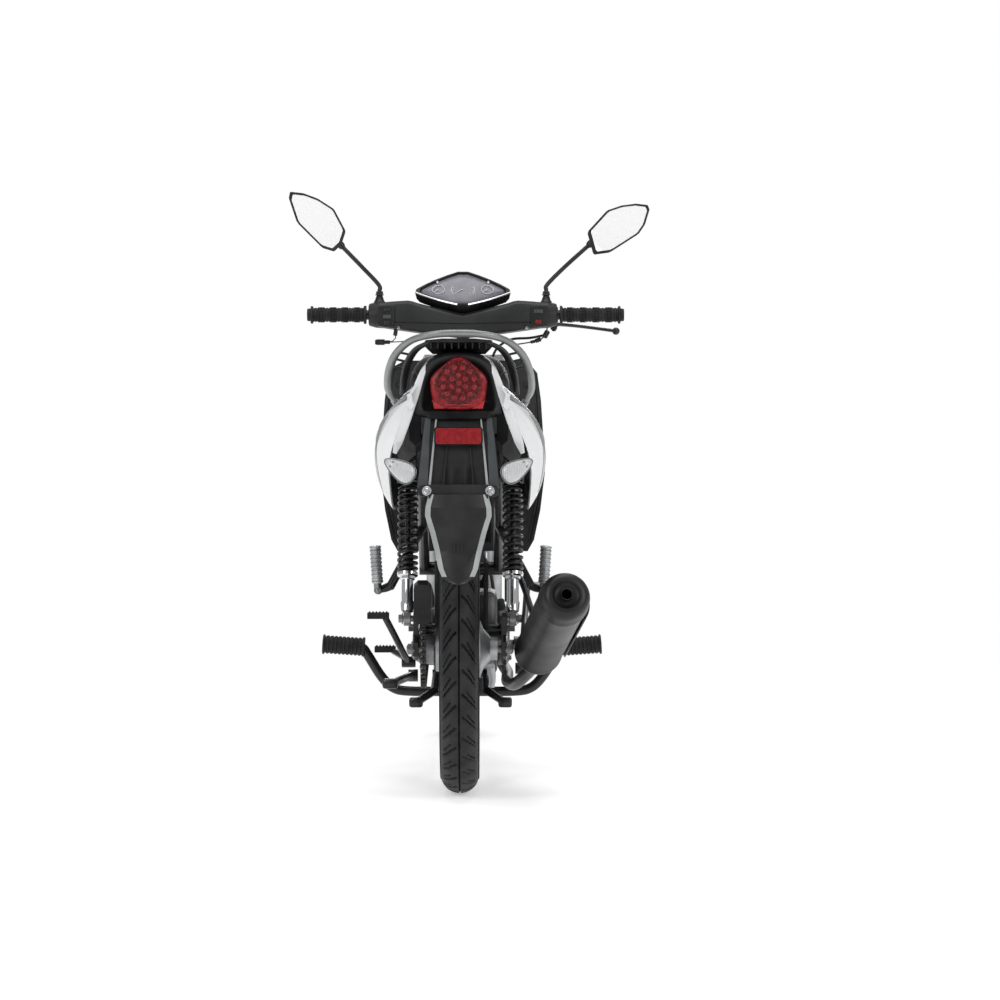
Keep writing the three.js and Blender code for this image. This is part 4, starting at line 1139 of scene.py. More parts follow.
def add_tail_housing():
    """The dark shell round the tail light, its base and side blades, and the dark parts ahead of it."""
    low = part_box("tail_housing")[0]
    outer = mirrored([(0.0, 0.868), (0.030, 0.866), (0.056, 0.856), (0.072, 0.836), (0.084, 0.790),
                      (0.089, 0.752), (0.084, 0.742)])
    centre_z = 0.79
    bm = bmesh.new()
    rings = []
    for scale, y in ((0.74, 0.020), (0.76, -0.002), (0.93, -0.006), (1.0, 0.004), (1.03, 0.04),
                     (1.04, 0.094)):
        rings.append([Vector((x * scale, low.y + y, centre_z + (z - centre_z) * scale)) for x, z in outer])
    loft(bm, rings)
    finish("tail_shell", bm, "chassis", "grey_plastic", ["tail_housing"], smooth=40, levels=1)
    bm = bmesh.new()
    rounded_plate(bm, Vector((0, low.y - 0.006, 0.748)), 0.056, 0.0075, 0.004, 0.014)
    block(bm, (-0.052, -0.322, 0.736), (0.052, -0.30, 0.743))
    finish("tail_base", bm, "chassis", "deep_black", bevel=0.0012)
    bm = bmesh.new()
    for side in (-1, 1):
        path = [Vector((side * x, y, z)) for x, y, z in (
            (0.058, -0.306, 0.846), (0.068, -0.314, 0.828), (0.082, -0.320, 0.788), (0.098, -0.322, 0.742),
            (0.113, -0.316, 0.700), (0.121, -0.302, 0.676))]
        tube(bm, path, [0.0025, 0.0055, 0.0080, 0.0090, 0.0085, 0.0040], 16, 8, squeeze=0.32,
             up=Vector((0, 1, 0)))
    finish("tail_blades", bm, "chassis", "white_gloss", smooth=60)
    bm = bmesh.new()
    for side in (-1, 1):
        rings = []
        for y, z0, z1, x0, x1 in ((-0.308, 0.690, 0.800, 0.072, 0.096), (-0.25, 0.672, 0.806, 0.072, 0.110),
                                  (-0.16, 0.655, 0.80, 0.092, 0.122), (-0.10, 0.665, 0.79, 0.094, 0.128)):
            rings.append([Vector((side * x, y, z)) for x, z in (
                (x0, z1), (x1 - 0.012, z1 - 0.010), (x1, (z0 + z1) / 2), (x1 - 0.004, z0 + 0.01),
                (x0 + 0.01, z0), (x0, z0 + 0.01))])
        loft(bm, rings)
    finish("tail_infill", bm, "chassis", "deep_black", smooth=40, bevel=0.002)
    bm = bmesh.new()
    rings = []
    for k in range(25):
        angle = math.radians(28 + (126 - 28) * k / 24)
        cos, sin = math.cos(angle), math.sin(angle)
        rings.append([Vector((x, -0.008 + r * cos, 0.345 + r * sin)) for x, r in (
            (-0.062, 0.297), (-0.058, 0.305), (0, 0.312), (0.058, 0.305), (0.062, 0.297), (0.059, 0.297),
            (0.056, 0.302), (0, 0.309), (-0.056, 0.302), (-0.059, 0.297))])
    loft(bm, rings)
    finish("inner_fender", bm, "chassis", "deep_black", smooth=50)


def add_indicator(name, side):
    """A rear indicator: dark bowl and stalk, clear lens with two rows of cells, and a light rim."""
    centre = Vector((side * 0.108, -0.352, 0.645))
    facing = Vector((side * 0.16, -1, 0.10)).normalized()
    long_axis = Vector((side * 1.0, 0.10, 0.62)).normalized()
    long_axis = (long_axis - facing * long_axis.dot(facing)).normalized()
    short_axis = facing.cross(long_axis).normalized()
    if short_axis.z < 0:
        short_axis = -short_axis

    def ring(scale_long, scale_short, forward):
        """The lens's drop-shaped outline at a size, moved forward."""
        points = []
        for k in range(32):
            angle = 2 * math.pi * k / 32
            cos, sin = math.cos(angle), math.sin(angle)
            reach = scale_long * cos * (1.12 if cos > 0 else 0.95)
            lift = scale_short * math.copysign(abs(sin) ** 0.85, sin) * (1 - 0.45 * cos)
            points.append(centre + long_axis * reach + short_axis * lift + facing * forward)
        return points

    bm = bmesh.new()
    loft(bm, [ring(0.010, 0.008, -0.022), ring(0.024, 0.013, -0.019), ring(0.031, 0.0175, -0.008),
              ring(0.0325, 0.0185, 0.0), ring(0.031, 0.017, 0.001)])
    stalk = [centre + mm(-side * 34, 20, -6), centre + mm(-side * 22, 14, -6),
             centre + mm(-side * 8, 10, -3)]
    tube(bm, stalk, [0.012, 0.011, 0.010], 16, 6, squeeze=0.8)
    finish(f"indicator_bowl_{name}", bm, "chassis", "deep_black", [f"indicator_rear_{name}"], smooth=50)
    bm = bmesh.new()
    loft(bm, [ring(0.0305, 0.0168, 0.001), ring(0.0305, 0.0168, 0.005), ring(0.028, 0.0150, 0.009),
              ring(0.021, 0.011, 0.0115), ring(0.010, 0.005, 0.0125), ring(0.0005, 0.0003, 0.0126)])
    finish(f"indicator_lens_{name}", bm, "chassis", "lens_clear", smooth=60)
    bm = bmesh.new()
    for row, count in ((0.0045, 4), (-0.0045, 4)):
        for k in range(count):
            spot = centre + long_axis * (-0.010 + 0.0095 * k) + short_axis * row + facing * 0.0096
            revolve(bm, spot, spot + facing * 0.003, [(0, 0.0030), (0.0014, 0.0026), (0.0024, 0.0012),
                                                      (0.0026, 0)], 12)
    finish(f"indicator_cells_{name}", bm, "chassis", "rail_silver", smooth=50)
    bm = bmesh.new()
    path = ring(0.0320, 0.0182, 0.0022)
    rings = []
    for k, point in enumerate(path):
        ahead = (path[(k + 1) % 32] - path[k - 1]).normalized()
        normal = ahead.cross(facing).normalized()
        rings.append([point + (facing * math.cos(a) + normal * math.sin(a)) * 0.0011 for a in circle(8)])
    loft(bm, rings, looped=True)
    finish(f"indicator_rim_{name}", bm, "chassis", "rail_silver", smooth=60)


def add_grab_rail():
    """The hoop round the back of the seat: a silver edge with a dark ribbed plate inside its rear bend."""
    half = [(-0.131, 0.060, 0.776), (-0.138, -0.020, 0.790), (-0.140, -0.100, 0.806),
            (-0.134, -0.190, 0.836), (-0.118, -0.262, 0.866), (-0.088, -0.314, 0.889),
            (-0.045, -0.338, 0.899)]
    path = [Vector(p) for p in half] + [Vector((0, -0.342, 0.901))] + [Vector((-x, y, z)) for x, y,
                                                                       z in reversed(half)]
    bm = bmesh.new()
    radii = [0.005, 0.007, 0.0075, 0.008, 0.008, 0.008, 0.0085, 0.009, 0.0085, 0.008, 0.008, 0.008, 0.0075,
             0.007, 0.005]
    tube(bm, path, radii, 24, 10, squeeze=0.72)
    for side in (-1, 1):
        foot = [Vector((side * 0.131, 0.060, 0.776)), Vector((side * 0.122, 0.105, 0.760)),
                Vector((side * 0.112, 0.14, 0.752))]
        tube(bm, foot, [0.0085, 0.0075, 0.006], 16, 8, squeeze=0.6)
    finish("grab_hoop", bm, "chassis", "rail_silver", ["grab_rail"], smooth=60)
    bm = bmesh.new()
    rows = [(-0.330, 0.062, 0.889), (-0.305, 0.066, 0.884), (-0.275, 0.060, 0.877), (-0.235, 0.050, 0.868)]
    rings = [[Vector((x, y, z + dz)) for x, dz in ((-h, 0), (-h * 0.5, 0.003), (h * 0.5, 0.003), (h, 0),
                                                   (h, -0.004), (-h, -0.004))] for y, h, z in rows]
    loft(bm, rings)
    for k in range(9):
        x = -0.052 + 0.013 * k
        block(bm, (x - 0.0012, -0.330, 0.873), (x + 0.0012, -0.262, 0.884))
    for side in (-1, 1):
        arm = [Vector((side * 0.050, -0.322, 0.886)), Vector((side * 0.078, -0.290, 0.874)),
               Vector((side * 0.096, -0.235, 0.852)), Vector((side * 0.106, -0.16, 0.822)),
               Vector((side * 0.112, -0.07, 0.790))]
        tube(bm, arm, [0.009, 0.009, 0.0085, 0.008, 0.006], 16, 8, squeeze=0.45)
        for share in (0.25, 0.5, 0.75):
            a = Vector((side * 0.078, -0.290, 0.874)).lerp(Vector((side * 0.106, -0.16, 0.822)), share)
            b = Vector((side * 0.104, -0.300, 0.879)).lerp(Vector((side * 0.136, -0.17, 0.830)), share)
            tube(bm, [a, (a + b) / 2, b], 0.004, 10, 4, squeeze=0.6)
    finish("grab_rail_ribs", bm, "chassis", "black_plastic", smooth=40)


# Side panels and seat ---------------------------------------------------------------
# Stations of a side panel from front to tail: Y, then Z of the lower and upper edge, then X low, bulge and
# top.
PANEL_STATIONS = [
    (0.475, 0.618, 0.728, 0.122, 0.132, 0.112),
    (0.44, 0.588, 0.738, 0.130, 0.146, 0.110),
    (0.36, 0.562, 0.744, 0.134, 0.156, 0.108),
    (0.25, 0.553, 0.748, 0.137, 0.165, 0.107),
    (0.14, 0.566, 0.754, 0.139, 0.168, 0.106),
    (0.05, 0.604, 0.762, 0.141, 0.168, 0.105),
    (-0.03, 0.640, 0.770, 0.141, 0.163, 0.104),
    (-0.11, 0.670, 0.778, 0.135, 0.153, 0.102),
    (-0.19, 0.700, 0.787, 0.124, 0.139, 0.098),
    (-0.26, 0.727, 0.796, 0.110, 0.122, 0.092),
    (-0.31, 0.748, 0.803, 0.096, 0.105, 0.085),
    (-0.34, 0.764, 0.806, 0.084, 0.090, 0.080),
]


def panel_point(side, u, v, outward=0.0):
    """A point of the panel's outer skin: u runs 0 to 1 from front to tail, and v 0 to 1 from upper to
    lower edge."""
    y, z0, z1, x0, xm, x1 = station_values(PANEL_STATIONS, u)
    crease = 0.0035 * math.exp(-((v - 0.42) / 0.05) ** 2)
    x = x1 + (x0 - x1) * v + 4 * v * (1 - v) * (xm - (x0 + x1) / 2) + crease
    point = Vector((side * x, y, z1 + (z0 - z1) * v))
    if outward:
        e = 0.01
        du = panel_point(side, min(u + e, 1), v) - panel_point(side, max(u - e, 0), v)
        dv = panel_point(side, u, min(v + e, 1)) - panel_point(side, u, max(v - e, 0))
        normal = du.cross(dv).normalized()
        if normal.x * side < 0:
            normal = -normal
        point += normal * outward
    return point


def panel_decal(bm, side, corners, material, lift=0.0005):
    """A graphic patch on the panel's skin between four (u, v) corners, with its edges along the skin."""
    count_s, count_t = 28, 8
    layers = []
    for outward in (lift, -0.001):
        grid = []
        for i in range(count_s + 1):
            s = i / count_s
            row = []
            for j in range(count_t + 1):
                t = j / count_t
                u = (1 - s) * ((1 - t) * corners[0][0] + t * corners[3][0]) + s * ((1 - t) * corners[1][0]
                                                                                   + t * corners[2][0])
                w = (1 - s) * ((1 - t) * corners[0][1] + t * corners[3][1]) + s * ((1 - t) * corners[1][1]
                                                                                   + t * corners[2][1])
                row.append(bm.verts.new(panel_point(side, u, w, outward)))
            grid.append(row)
        layers.append(grid)
    top, low = layers
    for grid in layers:
        for a, b in zip(grid, grid[1:]):
            for j in range(count_t):
                bm.faces.new((a[j], a[j + 1], b[j + 1], b[j])).material_index = material
    border = [(i, 0) for i in range(count_s)] + [(count_s, j) for j in range(count_t)]
    border += [(i, count_t) for i in range(count_s, 0, -1)] + [(0, j) for j in range(count_t, 0, -1)]
    for (i, j), (k, m) in zip(border, border[1:] + border[:1]):
        bm.faces.new((top[i][j], top[k][m], low[k][m], low[i][j])).material_index = material


def add_side_panel(name, side):
    """The white panel: a curved skin, grey and silver graphics, and its screws."""
    bm = bmesh.new()
    rings = []
    steps_u, steps_v = 72, 20
    for i in range(steps_u + 1):
        u = i / steps_u
        outer = [panel_point(side, u, v / steps_v, 1e-5) for v in range(steps_v + 1)]
        inner = [panel_point(side, u, v / steps_v, -0.0035) for v in range(steps_v, -1, -1)]
        rings.append(outer + inner)
    loft(bm, rings)
    finish(f"side_cowl_{name}", bm, "chassis", "white_gloss", [f"side_panel_{name}"], smooth=50)
    bm = bmesh.new()
    panel_decal(bm, side, [(0.40, 0.60), (0.80, 0.30), (0.74, 0.52), (0.36, 0.86)], 0)
    panel_decal(bm, side, [(0.80, 0.24), (0.97, 0.30), (0.95, 0.60), (0.76, 0.46)], 0)
    panel_decal(bm, side, [(0.08, 0.70), (0.34, 0.88), (0.30, 0.97), (0.07, 0.90)], 0)
    panel_decal(bm, side, [(0.30, 0.50), (0.78, 0.20), (0.76, 0.25), (0.31, 0.57)], 1)
    finish(f"side_graphic_{name}", bm, "chassis", ["grey_graphic", "silver_graphic"], smooth=50)
    bm = bmesh.new()
    for u, v in ((0.10, 0.2), (0.30, 0.12), (0.06, 0.55)):
        spot = panel_point(side, u, v, 0.0002)
        outward = (panel_point(side, u, v, 0.01) - spot).normalized()
        revolve(bm, spot, spot + outward * 0.002, [(0, 0.0055), (0.0008, 0.0052), (0.0014, 0.004),
                                                   (0.0012, 0.002), (0.0004, 0)], 24)
    finish(f"side_screws_{name}", bm, "chassis", "steel", smooth=40)
    bm = bmesh.new()
    rings = []
    for i in range(25):
        u = 0.02 + 0.84 * i / 24
        p = panel_point(side, u, 0.98)
        inner = 0.085 if abs(p.y - 0.09) > 0.08 else 0.128
        q = Vector((side * inner, p.y, p.z + 0.035))
        rings.append([p + Vector((-side * 0.006, 0, 0.002)), q, q + Vector((0, 0, 0.003)),
                      p + Vector((-side * 0.006, 0, 0.006))])
    loft(bm, rings)
    finish(f"under_panel_{name}", bm, "chassis", "deep_black", smooth=50)


# Stations of the seat from tail to nose: Y, half width, Z of the top.
SEAT_STATIONS = [
    (-0.205, 0.078, 0.838),
    (-0.198, 0.088, 0.854),
    (-0.175, 0.096, 0.8635),
    (-0.10, 0.1005, 0.8615),
    (0.00, 0.1010, 0.8575),
    (0.085, 0.1005, 0.850),
    (0.13, 0.100, 0.838),
    (0.165, 0.100, 0.815),
    (0.20, 0.0995, 0.799),
    (0.25, 0.0990, 0.792),
    (0.32, 0.0960, 0.7885),
    (0.39, 0.0880, 0.788),
    (0.44, 0.0760, 0.7845),
    (0.470, 0.0640, 0.777),
    (0.483, 0.0540, 0.766),
]
SEAT_BASE = 0.750
SEAT_SEAMS = (0.36, 0.56, 0.70)
SEAT_EDGE_ANGLE = 0.62


def seat_point(u, angle, lift=0.0):
    """A point of the cover: angle runs from 0 at the right lower edge over the top to pi at the left lower
    edge."""
    y, half, top = station_values(SEAT_STATIONS, u)
    tall = top - SEAT_BASE
    cos, sin = math.cos(angle), math.sin(angle)
    x = (half + lift) * math.copysign(abs(cos) ** 0.42, cos)
    z = SEAT_BASE + (tall + lift) * abs(sin) ** 0.55
    z += 0.003 * math.sin(math.pi * min(1, abs(x) / half)) - 0.002
    x *= 1 - 0.06 * (1 - min(1, (z - SEAT_BASE) / tall)) ** 2
    for seam_u in SEAT_SEAMS:
        z -= 0.0030 * math.exp(-((u - seam_u) / 0.006) ** 2) * max(0, sin)
    edge = (0.0022 * math.exp(-((angle - SEAT_EDGE_ANGLE) / 0.035) ** 2)
            + 0.0022 * math.exp(-((math.pi - angle - SEAT_EDGE_ANGLE) / 0.035) ** 2))
    return Vector((x * (1 - edge * 4), y, z - edge))


def add_seat():
    """A foam seat in vinyl: cross channels with stitches, piping down both sides, and its pan."""
    bm = bmesh.new()
    rings = []
    steps_u, steps_a = 150, 72
    for i in range(steps_u + 1):
        u = i / steps_u
        ring = [seat_point(u, math.pi * j / steps_a) for j in range(steps_a + 1)]
        rings.append(ring)
    loft(bm, rings)
    cover = finish("seat_cover", bm, "seat_body", "vinyl", ["seat"], smooth=60)
    bm = bmesh.new()
    for angle in (SEAT_EDGE_ANGLE, math.pi - SEAT_EDGE_ANGLE):
        path = [seat_point(0.03 + 0.94 * k / 40, angle, 0.0008) for k in range(41)]
        tube(bm, path, 0.0017, 8, 3)
    finish("seat_piping", bm, "seat_body", "vinyl", smooth=60)
    bm = bmesh.new()
    for seam_u in SEAT_SEAMS:
        for offset in (-0.0095, 0.0095):
            for k in range(34):
                a0 = 0.72 + (math.pi - 1.44) * k / 34
                a1 = a0 + (math.pi - 1.44) / 34 * 0.6
                tube(bm, [seat_point(seam_u + offset, a0, 0.0004),
                          seat_point(seam_u + offset, (a0 + a1) / 2, 0.0009),
                          seat_point(seam_u + offset, a1, 0.0004)], 0.0004, 5, 2)
    finish("seat_stitches", bm, "seat_body", "side_strip", smooth=60)
    bm = bmesh.new()
    rings = []
    for i in range(61):
        y, half, _ = station_values(SEAT_STATIONS, i / 60)
        h = half * 0.955
        rings.append([Vector((x, y, z)) for x, z in ((-h, SEAT_BASE - 0.0035), (h, SEAT_BASE - 0.0035),
                                                     (h + 0.0015, SEAT_BASE + 0.002),
                                                     (-h - 0.0015, SEAT_BASE + 0.002))])
    loft(bm, rings)
    finish("seat_pan", bm, "seat_body", "deep_black", smooth=50)


# Handlebar, dials, grips and mirrors --------------------------------------------------
def cover_ring(x):
    """The handlebar cover's outline in the YZ plane at a distance from its middle."""
    share = min(1.0, abs(x) / 0.188)
    rear = 0.7375 - 0.0035 * (1 - share ** 2)
    front = 0.868 - 0.046 * share ** 1.6
    low = 0.919 + 0.024 * share ** 1.2
    dip = max(0.0, 1 - abs(x) / 0.115)
    high = 1.004 - 0.009 * share ** 1.5 - 0.034 * dip ** 0.8
    return [(rear + 0.010, low), (rear + 0.003, low + 0.006), (rear, low + 0.018), (rear, high - 0.018),
            (rear + 0.004, high - 0.006),
            (rear + 0.014, high), ((rear + front) / 2, high + 0.003 * (1 - share)),
            (front - 0.016, high - 0.004), (front - 0.004, high - 0.014),
            (front, high - 0.030), (front - 0.003, low + 0.020), (front - 0.014, low + 0.004),
            ((rear + front) / 2, low - 0.002)]


def add_handlebar_cover():
    """The cover with its seam and screws, and then the parts that it carries."""
    bm = bmesh.new()
    rings = []
    for i in range(41):
        x = -0.186 + 0.372 * i / 40
        rings.append([Vector((x, y, z)) for y, z in cover_ring(x)])
    loft(bm, rings)
    finish("bar_cover", bm, "steering", "grey_plastic", ["handlebar_cover"], smooth=48, bevel=0.002)
    bm = bmesh.new()
    seam = [Vector((x, cover_ring(x)[2][0] - 0.0004, 0.948 + 0.004 * abs(x) / 0.188))
            for x in (-0.186 + 0.372 * i / 30 for i in range(31))]
    tube(bm, seam, 0.0009, 6, 1)
    finish("bar_cover_seam", bm, "steering", "deep_black")
    both_sides(add_switch_block)
    bm = bmesh.new()
    for x in (-0.141, 0.141):
        spot = Vector((x, 0.7325, 0.938))
        revolve(bm, spot + Vector((0, 0.004, 0)), spot - Vector((0, 0.01, 0)),
                [(0, 0.004), (0.0035, 0.004), (0.0042, 0.003), (0.0036, 0.0014), (0.0030, 0)], 20)
    finish("bar_cover_screws", bm, "steering", "steel", smooth=40)
    add_buttons()
    add_front_indicators()


def add_switch_block(name, side):
    """The block for the switches at one end of the handlebar cover, and the collar behind the grip."""
    bm = bmesh.new()
    x0, x1 = sorted((side * 0.146, side * 0.190))
    rings = []
    for y, grow in ((0.7345, -0.002), (0.7325, -0.003), (0.7325, -0.006)):
        reach = ((x1 - x0) / 2 + grow - 0.006, 0.024 + grow - 0.004)
        outline = rounded_outline(((x0 + x1) / 2, 0.965), reach, 0.005, 4)
        rings.append([Vector((a, y, b)) for a, b in outline])
    loft(bm, rings)
    collar = Vector((side * 0.186, BAR_Y, BAR_Z))
    revolve(bm, collar, collar + Vector((side, 0, 0)), [(-0.01, 0.030), (0.006, 0.0285), (0.014, 0.0262),
                                                        (0.0205, 0.0245), (0.0222, 0.020),
                                                        (0.0222, 0.0125)], 40)
    finish(f"switch_block_{name}", bm, "steering", "black_plastic", smooth=45, bevel=0.0007)


def add_buttons():
    """The three moving buttons on the switch blocks, and the fixed switches beside them."""
    corner = 0.0025
    for node, material in (("starter_button", "red_button"), ("horn_button", "grey_plastic"),
                           ("turn_switch", "grey_plastic")):
        low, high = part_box(node)
        centre = ((low.x + high.x) / 2, (low.z + high.z) / 2)
        reach = ((high.x - low.x) / 2 - corner, (high.z - low.z) / 2 - corner)
        bm = bmesh.new()
        rings = []
        for y, inset in ((high.y, 0.0), (low.y - 0.0025, 0.0), (low.y - 0.0040, 0.0007),
                         (low.y - 0.0045, 0.0022)):
            outline = rounded_outline(centre, reach, corner - inset, 4)
            rings.append([Vector((a, y, b)) for a, b in outline])
        loft(bm, rings)
        if node == "turn_switch":
            mid = (low + high) / 2
            block(bm, (mid.x - 0.0012, low.y - 0.0075, low.z + 0.0015),
                  (mid.x + 0.0012, low.y - 0.003, high.z - 0.0015))
        finish(f"{node}_cap", bm, f"{node}_body", material, [node], smooth=45)
    bm = bmesh.new()
    for x, z, half in ((0.166, 0.975, 0.010), (-0.166, 0.9635, 0.009)):
        rounded_plate(bm, Vector((x, 0.7335, z)), half, 0.0042, 0.002, 0.004)
    rounded_plate(bm, Vector((0.166, 0.730, 0.975)), 0.0035, 0.0030, 0.001, 0.003)
    finish("dip_and_lamp_switches", bm, "steering", "side_strip", bevel=0.0006)


def add_front_indicators():
    """The amber front indicators at the cover's ends, and then the headlight between them."""
    bm = bmesh.new()
    for side in (-1, 1):
        rings = []
        for x, grow in ((0.112, 0.010), (0.118, 0.015), (0.142, 0.0155), (0.163, 0.011), (0.168, 0.006)):
            y = cover_ring(x)[9][0]
            rings.append([Vector((side * x, y - 0.006 + grow * 0.55 * math.cos(a),
                                  0.968 + grow * 0.95 * math.sin(a))) for a in circle(20)])
        loft(bm, rings)
    finish("front_indicators", bm, "steering", "amber", smooth=60)
    add_headlight()


def add_headlight():
    """The headlight's clear lens and its chrome bezel."""
    centre = middle("headlight")

    def ring(y, scale):
        """The headlight's outline at y and at a size."""
        return [Vector((centre.x + 0.069 * scale * math.copysign(abs(math.cos(a)) ** 0.7, math.cos(a)), y,
                        centre.z + 0.029 * scale * math.copysign(abs(math.sin(a)) ** 0.7, math.sin(a))))
                for a in circle(48)]

    bm = bmesh.new()
    rings = []
    for y, scale in ((0.845, 0.94), (0.866, 1.0), (0.872, 0.99), (0.879, 0.90), (0.8825, 0.70),
                     (0.884, 0.3)):
        rings.append(ring(y, scale))
    loft(bm, rings)
    finish("headlight_lens", bm, "steering", "lens_clear", ["headlight"], smooth=60)
    bm = bmesh.new()
    rings = []
    for y, scale in ((0.868, 1.01), (0.874, 1.10), (0.870, 1.16), (0.855, 1.18)):
        rings.append(ring(y, scale))
    loft(bm, rings)
    finish("headlight_bezel", bm, "steering", "chrome", smooth=50)


def add_cluster():
    """The diamond instrument housing: black shell, dark window with three dials, and chrome trim."""
    top = Vector((0, 0.812, 1.069))
    left = Vector((-0.114, 0.784, 1.020))
    right = Vector((0.114, 0.784, 1.020))
    bottom = Vector((0, 0.734, 0.986))
    centre = Vector((0, 0.778, 1.022))

    corners = [top, right, bottom, left]
    normal = (right - left).cross(top - bottom).normalized()
    if normal.y > 0:
        normal = -normal

    def outline(scale, push):
        """The housing's diamond outline at a size, moved out along its normal."""
        points = []
        for k in range(4):
            a, b = corners[k], corners[(k + 1) % 4]
            for t in (0.10, 0.30, 0.5, 0.70, 0.90):
                bulge = 0.10 * math.sin(math.pi * t)
                p = a.lerp(b, t)
                p = centre + (p - centre) * (1 + bulge)
                points.append(centre + (p - centre) * scale + normal * push)
        return points

    bm = bmesh.new()
    loft(bm, [outline(0.90, -0.030), outline(0.97, -0.018), outline(0.99, -0.004), outline(0.97, 0.002),
              outline(0.90, 0.003), outline(0.87, -0.002), outline(0.85, -0.006)])
    finish("cluster_shell", bm, "steering", "black_plastic", ["instrument_cluster"], smooth=40, bevel=0.001)
    bm = bmesh.new()
    loft(bm, [outline(0.87, -0.0055), outline(0.87, -0.0020), outline(0.83, 0.0006), outline(0.4, 0.0022)])
    finish("cluster_window", bm, "steering", "dial_face", smooth=60)
    sideways = Vector((1, 0, 0))
    upward = normal.cross(sideways).normalized()
    if upward.z < 0:
        upward = -upward
    bm = bmesh.new()

    def on_dial(x, z, lift=0.0026):
        """A point on the window, across and up from its middle."""
        return centre + sideways * x + upward * z + normal * lift

    for dx, radius in ((0.0, 0.0245), (-0.054, 0.0125), (0.054, 0.0125)):
        rings = [[on_dial(dx + r * math.cos(a), 0.002 + r * math.sin(a), lift) for r,
                  lift in ((radius, 0.0020), (radius + 0.0008, 0.0028), (radius + 0.0016, 0.0020),
                           (radius + 0.0008, 0.0010))] for a in circle(48)]
        loft(bm, rings, looped=True)
        ticks = 11 if dx == 0 else 5
        for k in range(ticks):
            angle = math.radians(220 - 260 * k / (ticks - 1))
            a = on_dial(dx + radius * 0.78 * math.cos(angle), 0.002 + radius * 0.78 * math.sin(angle),
                        0.0024)
            b = on_dial(dx + radius * 0.92 * math.cos(angle), 0.002 + radius * 0.92 * math.sin(angle),
                        0.0024)
            tube(bm, [a, (a + b) / 2, b], 0.0005, 6, 2)
        needle = math.radians(215)
        tube(bm, [on_dial(dx, 0.002), on_dial(dx + radius * 0.4 * math.cos(needle),
                                              0.002 + radius * 0.4 * math.sin(needle)),
                  on_dial(dx + radius * 0.75 * math.cos(needle), 0.002 + radius * 0.75 * math.sin(needle))],
             [0.0009, 0.0007, 0.0004], 6, 2)
    finish("cluster_dials", bm, "steering", "dial_white", smooth=50)
    bm = bmesh.new()
    edge = outline(0.985, 0.0015)
    for start, stop in ((11, 14), (5, 9)):
        path = edge[start - 1:stop + 1] if start > 6 else edge[start:stop + 1]
        tube(bm, path, 0.0024, 10, 4)
    for x in (-0.056, 0.056):
        spot = on_dial(x, 0.0235, 0.0)
        revolve(bm, spot, spot + normal * 0.004, [(0, 0.0036), (0.0030, 0.0036), (0.0042, 0.0026),
                                                  (0.0036, 0.001), (0.003, 0)], 20)
    finish("cluster_trim", bm, "steering", "chrome", smooth=50)


def add_grip(name, node, body, side):
    """A rubber grip with raised ribs between its two flanges."""
    low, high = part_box(node)
    inner, outer = (low.x, high.x) if side > 0 else (high.x, low.x)
    start = Vector((inner, BAR_Y, BAR_Z))
    end = Vector((outer, BAR_Y, BAR_Z))
    length = (end - start).length
    profile = [(0, 0.0122), (0, 0.0195), (0.0006, 0.0202), (0.0046, 0.0202), (0.0056, 0.0190),
               (0.0072, 0.0156)]
    ribs = 17
    rib_radius = 0.0158
    rib_space = (length - 0.024) / ribs
    for k in range(ribs):
        a = 0.0085 + rib_space * k
        profile += [(a, 0.0147), (a + rib_space * 0.2, rib_radius), (a + rib_space * 0.65, rib_radius),
                    (a + rib_space * 0.85, 0.0147)]
    tail = length - 0.0145
    profile += [(tail, 0.0152), (tail + 0.0015, 0.0188), (tail + 0.0025, 0.0196), (tail + 0.0055, 0.0196),
                (tail + 0.0065, 0.0185), (tail + 0.0068, 0.0142),
                (length - 0.001, 0.0138), (length, 0.0120), (length, 0)]
    bm = bmesh.new()
    revolve(bm, start, end, profile, 48)
    for k in range(24):
        angle = 2 * math.pi * k / 24
        radial = Vector((0, math.cos(angle), math.sin(angle)))
        side_axis = Vector((0, -math.sin(angle), math.cos(angle)))
        for share in (0.16, 0.36, 0.56, 0.76):
            spot = start.lerp(end, share) + radial * 0.0160
            corners = [spot + Vector((dx, 0, 0)) + side_axis * dy for dx,
                       dy in ((-0.007, 0), (0, -0.0011), (0.007, 0), (0, 0.0011))]
            loft(bm, [corners, [c + radial * 0.0008 for c in corners]])
    finish(name, bm, body, "rubber", [node], smooth=35)


